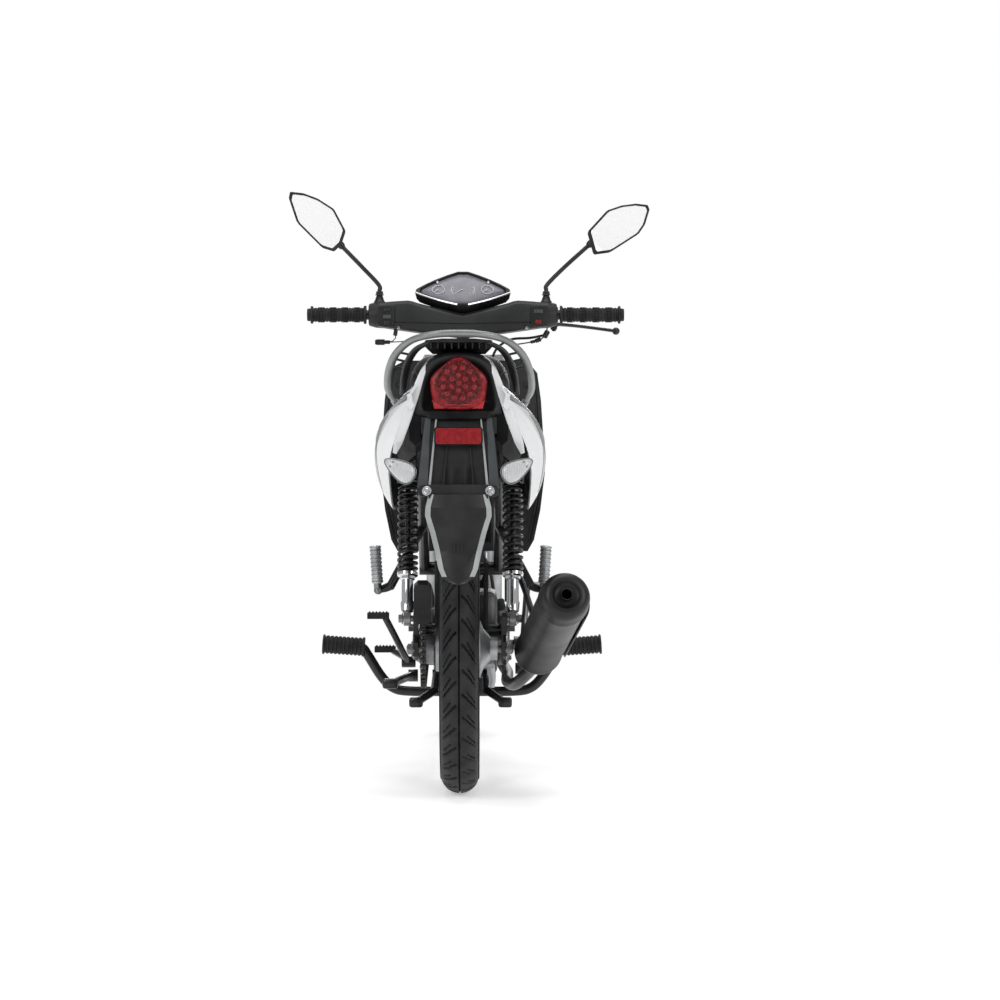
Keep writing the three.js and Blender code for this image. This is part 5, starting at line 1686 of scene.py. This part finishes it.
def add_mirror(name, side):
    """A six-sided mirror: moulded shell, flat glass with a thin rim, ball joint, and a bent stem with its
    boot. The glass is near white, a painted reflection of the bright studio."""
    if side < 0:
        outline = [(-0.3810, 1.2400), (-0.3520, 1.2370), (-0.3200, 1.2250), (-0.2840, 1.2020),
                   (-0.2580, 1.1530),
                   (-0.2680, 1.1230), (-0.2840, 1.1080), (-0.3100, 1.1160), (-0.3660, 1.1720),
                   (-0.3840, 1.2260)]
        stem = [(-0.1840, 1.010), (-0.1840, 1.022), (-0.1865, 1.036), (-0.2240, 1.076), (-0.2735, 1.1270)]
    else:
        outline = [(0.2740, 1.1510), (0.3180, 1.1990), (0.3500, 1.2100), (0.3820, 1.2140), (0.4080, 1.2110),
                   (0.4120, 1.2010), (0.4020, 1.1680), (0.3880, 1.1470), (0.3240, 1.1060), (0.2880, 1.1010)]
        stem = [(0.1840, 1.010), (0.1840, 1.024), (0.1865, 1.036), (0.2240, 1.074), (0.2860, 1.1300)]
    cx = sum(x for x, z in outline) / len(outline)
    cz = sum(z for x, z in outline) / len(outline)

    def rounded(scale, y):
        """The mirror's outline at a size, with softened corners."""
        points = []
        count = len(outline)
        for k in range(count):
            before, here, after = outline[k - 1], outline[k], outline[(k + 1) % count]
            for t in (0.0, 0.25, 0.5, 0.75, 1.0):
                a = [h + (b - h) * 0.16 * (1 - t) for h, b in zip(here, before)]
                b = [h + (f - h) * 0.16 * t for h, f in zip(here, after)]
                x = (a[0] + b[0]) / 2 + (here[0] - (a[0] + b[0]) / 2) * 0.15
                z = (a[1] + b[1]) / 2 + (here[1] - (a[1] + b[1]) / 2) * 0.15
                points.append(Vector((cx + (x - cx) * scale, y, cz + (z - cz) * scale)))
        return points

    bm = bmesh.new()
    loft(bm, [rounded(0.905, 0.7835), rounded(0.915, 0.7805), rounded(0.995, 0.7800), rounded(1.0, 0.7825),
              rounded(0.99, 0.7885), rounded(0.93, 0.796), rounded(0.78, 0.8025), rounded(0.5, 0.806),
              rounded(0.2, 0.8065)])
    finish(f"mirror_shell_{name}", bm, f"mirror_{name}_body", "black_plastic", [f"mirror_{name}"], smooth=45)
    bm = bmesh.new()
    loft(bm, [rounded(0.90, 0.7830), rounded(0.90, 0.7815), rounded(0.89, 0.7812)])
    finish(f"mirror_glass_{name}", bm, f"mirror_{name}_body", "mirror_glass", smooth=20)
    bm = bmesh.new()
    tube(bm, [Vector((x, 0.790 + (0.010 if k == len(stem) - 1 else 0.0), z)) for k,
              (x, z) in enumerate(stem)], 0.0048, 16, 8)
    foot = Vector((side * 0.184, 0.79, 0.995))
    revolve(bm, foot, foot + Vector((0, 0, 1)), [(0, 0.0125), (0.003, 0.0128), (0.006, 0.0105),
                                                 (0.012, 0.0085), (0.018, 0.0062), (0.022, 0.005)], 32)
    hex_bolt(bm, foot + Vector((0, 0, 0.017)), Vector((0, 0, 1)), 0.0078, 0.009)
    tip = Vector((stem[-1][0], 0.800, stem[-1][1]))
    revolve(bm, tip - (tip - Vector((stem[-2][0], 0.79, stem[-2][1]))).normalized() * 0.014, tip,
            [(0, 0.0052), (0.004, 0.0078), (0.010, 0.0088), (0.016, 0.0075)], 24)
    finish(f"mirror_stem_{name}", bm, f"mirror_{name}_body", "black_paint", smooth=40)


# Brake lever and cable -----------------------------------------------------------------
def add_brake_lever():
    """The perch with its clamp bolts, and the curved blade with its ball end."""
    bm = bmesh.new()
    pivot = mm(202, 842, 950)
    revolve(bm, pivot - Vector((0, 0, 0.0068)), pivot + Vector((0, 0, 0.0068)),
            [(0, 0.0034), (0, 0.0085), (0.0015, 0.0092), (0.012, 0.0092), (0.0136, 0.0085),
             (0.0136, 0.0034)], 32)
    blade = [mm(205, 846, 950), mm(224, 858, 949), mm(258, 868, 946), mm(298, 870, 941), mm(328, 867, 937),
             mm(341, 867, 935)]
    tube(bm, blade, [0.0075, 0.0068, 0.0062, 0.0060, 0.0064, 0.0060], 20, 10, squeeze=0.62,
         up=Vector((0, 0, 1)))
    ball = mm(341, 867, 935)
    revolve(bm, ball - Vector((0.0085, 0, 0)), ball + Vector((0.0085, 0, 0)),
            [(0.0085 - 0.0085 * math.cos(a), 0.0085 * math.sin(a))
             for a in (math.pi * i / 12 for i in range(13))], 32)
    finish("brake_lever_blade", bm, "brake_lever_body", "black_paint", ["brake_lever"], smooth=50)
    bm = bmesh.new()
    perch = Vector((0.2015, 0.804, 0.969))
    reach = Vector((0.009, 0, 0))
    revolve(bm, perch - reach, perch + reach,
            [(0, 0.0112), (0, 0.0172), (0.001, 0.0182), (0.017, 0.0182), (0.018, 0.0172), (0.018, 0.0112)],
            40)
    block(bm, (0.1945, 0.815, 0.9585), (0.2085, 0.851, 0.9620))
    block(bm, (0.1945, 0.815, 0.9380), (0.2085, 0.851, 0.9415))
    block(bm, (0.1945, 0.815, 0.9380), (0.2085, 0.830, 0.9620))
    hex_bolt(bm, mm(202, 842, 962), Vector((0, 0, 1)), 0.0045, 0.004)
    hex_bolt(bm, mm(202, 842, 938), Vector((0, 0, -1)), 0.0045, 0.004)
    finish("lever_perch", bm, "steering", "black_paint", smooth=40, bevel=0.0005)


def add_handlebar_tube():
    """The handlebar itself with the stem block that holds it on the steering column."""
    bm = bmesh.new()
    cylinder(bm, mm(-326, 790, 969), mm(336, 790, 969), 0.011, 40)
    block(bm, (-0.020, 0.786, 0.939), (0.020, 0.846, 0.980))
    finish("handlebar_tube", bm, "steering", "black_paint", ["handlebar"], smooth=45, bevel=0.0015)


def add_wiring():
    """The switch lead on the left with its small plug, and the plug and boot of the right lead."""
    bm = bmesh.new()
    tube(bm, [mm(-96, 776, 914), mm(-118, 764, 911), mm(-140, 758, 909), mm(-160, 758, 908)], 0.0012, 10, 8)
    tube(bm, [mm(-150, 758, 926), mm(-148, 756, 918), mm(-154, 757, 911), mm(-164, 758, 908)], 0.0011, 10, 8)
    for x0, x1, half in ((-0.160, -0.172, 0.0040), (-0.172, -0.190, 0.0062), (-0.190, -0.193, 0.0050)):
        block(bm, (x1, 0.758 - half, 0.908 - half), (x0, 0.758 + half, 0.908 + half))
    cylinder(bm, mm(-146, 756, 942), mm(-149, 756, 922), 0.0045, 16)
    cylinder(bm, mm(188, 836, 934), mm(181, 842, 921), 0.0062, 20)
    tube(bm, [mm(186, 770, 940), mm(183, 768, 926), mm(171, 767, 914), mm(158, 767, 910), mm(130, 768, 905),
              mm(104, 774, 902)], 0.0015, 10, 8)
    for a, b, half in ((mm(172, 767, 915), mm(160, 767, 910.5), 0.0048),
                       (mm(160, 767, 910.5), mm(149, 767, 908), 0.0036)):
        cylinder(bm, a, b, half, 14)
    finish("switch_wiring", bm, "steering", "cable", smooth=40)


def add_brake_cable():
    """The front brake's cable: an outer sheath between the lever and the drum."""
    route = [mm(184, 838, 926), mm(150, 868, 920), mm(104, 892, 916), mm(72, 918, 892), mm(62, 925, 850),
             mm(62, 938, 800),
             mm(80, 978, 700), mm(94, 1062, 622), mm(98, 1165, 480), mm(97, 1195, 380), mm(97, 1200, 312)]
    bm = bmesh.new()
    tube(bm, route, 0.0029, 14, 14)
    sheath = finish("front_brake_sheath", bm, None, "cable", ["front_brake_cable"])
    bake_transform(sheath)


# Fork, front fender and shields ------------------------------------------------------------
def leg_point(distance, x=0.0, ahead=0.0):
    """A point at a distance up the fork leg's line from the axle, offset sideways and square to the leg."""
    along = Vector((0, -math.sin(RAKE), math.cos(RAKE)))
    front = Vector((0, math.cos(RAKE), math.sin(RAKE)))
    return FRONT_AXLE + along * distance * MM + front * ahead * MM + Vector((x * MM, 0, 0))


def add_fork():
    """Telescopic fork: sliders with dust seals, chrome stanchions, and the crown's pinch bolts."""
    for name, side in (("left", -1), ("right", 1)):
        x = 70 * side
        bm = bmesh.new()
        start, end = leg_point(-22, x), leg_point(232, x)
        revolve(bm, start, end, [(0, 0), (0, 0.0155), (0.002, 0.0178), (0.042, 0.0180), (0.050, 0.0176),
                                 (0.205, 0.0176), (0.212, 0.0182), (0.236, 0.0184), (0.238, 0.0170),
                                 (0.240, 0.0176),
                                 (0.246, 0.0176), (0.2535, 0.0160), (0.2540, 0.0135), (0.2000, 0.0135),
                                 (0.2000, 0)], 48)
        hex_bolt(bm, leg_point(20, x + side * 17), Vector((side, 0, 0)), 0.004, 0.004)
        finish(f"fork_slider_{name}", bm, "fork_slider", "cast_alloy", [f"fork_leg_{name}"], smooth=40)
        bm = bmesh.new()
        cylinder(bm, leg_point(122, x), leg_point(416, x), 0.0130, 40)
        finish(f"stanchion_{name}", bm, "steering", "chrome", smooth=40)
        bm = bmesh.new()
        for distance in (397, 412):
            hex_bolt(bm, leg_point(distance, x + side * 19), Vector((side, 0, 0)), 0.0045, 0.005)
        finish(f"crown_bolts_{name}", bm, "steering", "steel", smooth=40)
    dress("fork_crown", "black_paint", 0.0015)


def add_front_fender():
    """A thin blade over the front tyre, from behind the wheel over to its front, with rolled edges."""
    bm = bmesh.new()
    rings = []
    steps = 72
    for i in range(steps + 1):
        angle = math.radians(21 + 155 * i / steps)
        ends = min(i, steps - i) / 5
        taper = 1 - 0.22 * max(0.0, 1 - ends) ** 2
        ring = []
        outline = [(-0.0505, 0.266), (-0.0500, 0.280), (-0.0465, 0.290), (-0.034, 0.2945), (-0.012, 0.2965),
                   (0.012, 0.2965), (0.034, 0.2945), (0.0465, 0.290), (0.0500, 0.280), (0.0505, 0.266),
                   (0.0480, 0.266), (0.0476, 0.279), (0.0445, 0.2875), (0.033, 0.2920), (0.012, 0.2938),
                   (-0.012, 0.2938), (-0.033, 0.2920), (-0.0445, 0.2875), (-0.0476, 0.279), (-0.0480, 0.266)]
        for x, r in outline:
            ring.append(FRONT_AXLE + Vector((x * taper, -r * math.cos(angle), r * math.sin(angle))))
        rings.append(ring)
    loft(bm, rings)
    finish("front_fender_blade", bm, "fork_slider", "black_plastic", ["front_fender"], smooth=50)
    bm = bmesh.new()
    for side in (-1, 1):
        for distance in (175, 205):
            spot = leg_point(distance, side * 51)
            hex_bolt(bm, spot, Vector((side, 0, 0)), 0.0045, 0.0035)
    finish("front_fender_bolts", bm, "fork_slider", "steel", smooth=40)


SHIELD_STATIONS = [
    (0.868, 0.128, 0.778, 0.018),
    (0.855, 0.152, 0.772, 0.020),
    (0.840, 0.164, 0.766, 0.022),
    (0.780, 0.172, 0.757, 0.022),
    (0.700, 0.177, 0.745, 0.022),
    (0.620, 0.180, 0.732, 0.022),
    (0.540, 0.170, 0.716, 0.021),
    (0.475, 0.156, 0.704, 0.020),
    (0.450, 0.142, 0.700, 0.018),
]


def add_leg_shield():
    """The shield behind the fork: a dished skin with a turned rim, raised ribs and mounting screws."""
    rings = []
    for z, half, back, deep in SHIELD_STATIONS:
        outer, inner = [], []
        for i in range(33):
            u = -1 + 2 * i / 32
            dish = 0.010 * (1 - u * u)
            lip = 0.006 * max(0.0, (abs(u) - 0.90) / 0.10) ** 2
            x = u * half
            outer.append(Vector((x, back + dish * 0.8 - lip + 0.002, z)))
            inner.append(Vector((x * 0.995, back + deep - 0.006 + dish * 0.2, z)))
        rings.append(outer + inner[::-1])
    bm = bmesh.new()
    loft(bm, rings)
    finish("leg_shield_skin", bm, "chassis", "black_plastic", ["leg_shield"], smooth=50)
    bm = bmesh.new()
    for side in (-1, 1):
        line = [Vector((side * (half - 0.012), back - 0.001, z)) for z, half, back,
                deep in SHIELD_STATIONS[1:-1]]
        tube(bm, line, 0.0022, 8, 6)
        inner_line = [Vector((side * 0.062, 0.7735 - 0.075 * (0.84 - z) * 2.4, z))
                      for z in (0.84, 0.78, 0.72, 0.66, 0.60)]
        tube(bm, inner_line, 0.0026, 8, 6)
        for z, x in ((0.815, 0.140), (0.66, 0.150), (0.52, 0.135)):
            k = [row for row in SHIELD_STATIONS if row[0] >= z][-1]
            cylinder(bm, Vector((side * x, k[2] + 0.010, z)), Vector((side * x, k[2] - 0.004, z)), 0.006, 20)
    finish("leg_shield_ribs", bm, "chassis", "black_plastic", smooth=45)


# Engine, frame and controls -----------------------------------------------------------------
def add_plain_castings():
    """CAD nodes that keep their own shape, with softened edges and a material."""
    for node, material, bevel in (
        ("frame", "black_paint", 0.0010), ("engine_block", "engine_alloy", 0.0012),
        ("clutch_cover", "engine_alloy", 0.0020),
        ("flywheel_cover", "engine_alloy", 0.0020), ("fuel_tank", "black_paint", 0.0030),
        ("side_stand", "black_paint", 0.0010), ("centre_stand", "black_paint", 0.0010),
        ("brake_pedal", "black_paint", 0.0012), ("kick_starter", "steel", 0.0008),
    ):
        dress(node, material, bevel)


def cowl_point(u, v, inward=0.0):
    """A point of the nose panel's skin: u from -1 to 1 across, v from 0 at the bottom to 1 at the top."""
    z = 0.694 + 0.190 * v
    half = 0.110 + 0.012 * math.sin(math.pi * min(1.0, v * 0.9)) - 0.026 * max(0.0, v - 0.62) / 0.38
    edge = 1.014 - 0.060 * min(1.0, v / 0.55) - 0.027 * max(0.0, v - 0.55) / 0.45
    crown = 1.070 - 0.026 * min(1.0, v / 0.55) - 0.060 * (max(0.0, v - 0.55) / 0.45) ** 1.4
    ridge = 0.004 * math.exp(-(u / 0.10) ** 2)
    y = edge + (crown - edge) * (1 - abs(u) ** 2.1) + ridge
    return Vector((half * u * (1 - inward * 6), y - inward, z))


def add_front_cowl():
    """The white nose panel over the head tube: a curved skin with a dark grille and a grey flash down each
    side."""
    bm = bmesh.new()
    rings = []
    for j in range(37):
        v = j / 36
        outer = [cowl_point(-1 + i / 20, v) for i in range(41)]
        inner = [cowl_point(1 - i / 20, v, 0.0045) for i in range(41)]
        rings.append(outer + inner)
    loft(bm, rings)
    finish("nose_panel", bm, "chassis", "white_gloss", ["front_cowl"], smooth=50, bevel=0.0008)
    bm = bmesh.new()
    for side in (-1, 1):
        rings = []
        for j in range(25):
            v = 0.16 + 0.74 * j / 24
            near = 0.60 + 0.22 * (j / 24) ** 1.5
            wide = 0.012 + 0.075 * math.sin(math.pi * j / 24)
            row = [cowl_point(side * (near + wide * k / 4), v) + Vector((0, 0.0006, 0)) for k in range(5)]
            rings.append(row + [p - Vector((0, 0.002, 0)) for p in reversed(row)])
        loft(bm, rings)
    finish("nose_graphics", bm, "chassis", "grey_graphic", smooth=50)
    bm = bmesh.new()
    for k in range(4):
        v = 0.055 + 0.035 * k
        row = [cowl_point(-0.42 + 0.84 * i / 20, v) + Vector((0, 0.0018, 0)) for i in range(21)]
        tube(bm, row, 0.0017, 8, 1)
    finish("nose_grille", bm, "chassis", "deep_black", smooth=50)


def add_engine_details():
    """Cover screws, an oil filler and drain plug, and the spark plug's cap with its lead."""
    bm = bmesh.new()
    for cy, cz, x, side, radius, count in ((0.600, 0.270, -0.096, -1, 0.050, 6),
                                           (0.604, 0.274, 0.102, 1, 0.054, 8)):
        for k in range(count):
            angle = 2 * math.pi * (k + 0.5) / count
            spot = Vector((x, cy + radius * math.cos(angle), cz + radius * math.sin(angle)))
            hex_bolt(bm, spot, Vector((side, 0, 0)), 0.004, 0.004)
    hex_bolt(bm, mm(0, 560, 196), Vector((0, 0, -1)), 0.009, 0.009)
    finish("engine_screws", bm, "chassis", "steel", smooth=40)
    bm = bmesh.new()
    revolve(bm, mm(70, 540, 340), mm(92, 540, 344), [(0, 0.011), (0.010, 0.013), (0.018, 0.013),
                                                     (0.022, 0.010), (0.022, 0)], 24)
    tube(bm, [mm(34, 846, 300), mm(64, 850, 306), mm(70, 846, 326), mm(60, 800, 400), mm(30, 740, 470)],
         [0.009, 0.0085, 0.0045, 0.0035, 0.0035], 16, 8)
    finish("plug_cap_and_filler", bm, "chassis", "rubber", smooth=45)


def add_footrests():
    """The rider's footrest bar with ribbed rubber pads on its ends."""
    bm = bmesh.new()
    half = [mm(24, 500, 159.5), mm(110, 500, 160), mm(146, 500, 167), mm(172, 500, 192), mm(200, 500, 236),
            mm(212, 500, 252), mm(232, 500, 255.5), mm(290, 500, 260)]
    line = [Vector((-p.x, p.y, p.z)) for p in reversed(half)] + half
    tube(bm, line, 0.0105, 24, 10)
    for side in (-1, 1):
        block(bm, mm(side * 33 - 13, 486, 160), mm(side * 33 + 13, 514, 195.4))
        hex_bolt(bm, mm(side * 33, 486, 180), Vector((0, -1, 0)), 0.006, 0.005)
    finish("footrest_tube", bm, "chassis", "black_paint", ["footrest_bar"], smooth=45, bevel=0.0008)
    bm = bmesh.new()
    for side in (-1, 1):
        start, end = mm(side * 207, 500, 254), mm(side * 296.5, 500, 260.3)
        profile = [(0, 0.0172), (0, 0.0198), (0.0008, 0.0208), (0.0045, 0.0208), (0.0052, 0.0198),
                   (0.006, 0.0178)]
        for k in range(9):
            a = 0.0075 + 0.0085 * k
            profile += [(a, 0.0178), (a + 0.0012, 0.0196), (a + 0.0052, 0.0196), (a + 0.0064, 0.0178)]
        profile += [(0.0845, 0.0178), (0.0855, 0.0210), (0.0885, 0.0212), (0.0896, 0.0196), (0.0900, 0.017),
                    (0.0900, 0)]
        revolve(bm, start, end, profile, 36)
    finish("footrest_rubbers", bm, "chassis", "rubber", smooth=35)


def add_passenger_pegs():
    """Folded passenger pegs: a hinge with its pin, a bar and a ribbed sleeve."""
    for name, side in (("left", -1), ("right", 1)):
        hub = mm(side * 168, 165, 392)
        bm = bmesh.new()
        cylinder(bm, hub - Vector((0, 0.0090, 0)), hub + Vector((0, 0.0090, 0)), 0.0068, 28)
        cylinder(bm, hub, mm(side * 170, 158, 436), 0.0080, 24)
        for end in (-1, 1):
            hex_bolt(bm, hub + Vector((0, 0.0090 * end, 0)), Vector((0, end, 0)), 0.004, 0.003)
        finish(f"peg_hinge_{name}", bm, f"passenger_peg_{name}_body", "steel", [f"passenger_peg_{name}"],
               smooth=40)
        bm = bmesh.new()
        cylinder(bm, hub + Vector((0, 0.0135, 0)), hub + Vector((0, 0.0205, 0)), 0.0088, 28)
        tube(bm, [mm(side * 142, 181, 401), mm(side * 154, 182, 396), mm(side * 168, 182, 392)],
             [0.009, 0.0085, 0.0065], 20, 8)
        finish(f"peg_lug_{name}", bm, "chassis", "black_paint", smooth=45)
        start, end = mm(side * 168.7, 160.5, 408), mm(side * 173, 150, 483)
        profile = [(0, 0), (0, 0.0105), (0.001, 0.0118), (0.004, 0.0118)]
        for k in range(8):
            a = 0.0055 + 0.0082 * k
            profile += [(a, 0.0100), (a + 0.0010, 0.0115), (a + 0.0050, 0.0115), (a + 0.0062, 0.0100)]
        length = (end - start).length
        profile += [(length - 0.003, 0.0120), (length - 0.0008, 0.0118), (length, 0.0100), (length, 0)]
        bm = bmesh.new()
        revolve(bm, start, end, profile, 32)
        finish(f"peg_rubber_{name}", bm, f"passenger_peg_{name}_body", "cast_alloy", smooth=35)


def add_gear_pedal():
    """The rocking gear pedal: a hub, two swept arms and two ribbed pads."""
    bm = bmesh.new()
    hub = mm(-115, 560, 218)
    revolve(bm, mm(-100, 560, 218), mm(-130, 560, 218), [(0, 0.0088), (0, 0.0110), (0.001, 0.0120),
                                                         (0.029, 0.0120), (0.030, 0.0108), (0.030, 0)], 36)
    tube(bm, [hub, mm(-124, 600, 224), mm(-150, 640, 236)], [0.0078, 0.0072, 0.0070], 20, 10)
    tube(bm, [hub, mm(-124, 528, 236), mm(-142, 480, 278), mm(-162, 432, 322)],
         [0.0078, 0.0072, 0.0070, 0.0070], 20, 10)
    finish("gear_pedal_arms", bm, "gear_pedal_body", "black_paint", ["gear_pedal"], smooth=45)
    bm = bmesh.new()
    for x, y, z in ((-168, 646, 240), (-176, 428, 326)):
        block(bm, mm(x - 23, y - 10.5, z - 7.5), mm(x + 23, y + 10.5, z + 6.0))
        for k in range(6):
            block(bm, mm(x - 20 + 7.2 * k, y - 10, z + 5.0), mm(x - 16.4 + 7.2 * k, y + 10, z + 8.2))
    finish("gear_pedal_pads", bm, "gear_pedal_body", "rubber", smooth=35, bevel=0.0016)


def add_pedal_rubbers():
    """The ribs on the brake pedal's pad."""
    bm = bmesh.new()
    for k in range(5):
        block(bm, mm(142 + 8.4 * k, 638, 227.5), mm(146.5 + 8.4 * k, 654, 231.5))
    finish("brake_pedal_ribs", bm, "brake_pedal_body", "rubber", smooth=35, bevel=0.0008)


# Main ----------------------------------------------------------------------------------------
add_camera()
add_studio()
add_wheels()
add_chain()
add_chain_guard()
add_swingarm()
both_sides(add_shock)
add_exhaust()
add_mudguard()
add_tail_light()
add_tail_housing()
both_sides(add_indicator)
add_grab_rail()
both_sides(add_side_panel)
add_seat()
add_handlebar_tube()
add_handlebar_cover()
add_cluster()
add_grip("grip_left_rubber", "grip_left", "steering", -1)
add_grip("throttle_rubber", "throttle_grip", "throttle_body", 1)
add_brake_lever()
add_brake_cable()
add_wiring()
both_sides(add_mirror)
add_fork()
add_front_fender()
add_leg_shield()
add_plain_castings()
add_front_cowl()
add_engine_details()
add_footrests()
add_passenger_pegs()
add_gear_pedal()
add_pedal_rubbers()
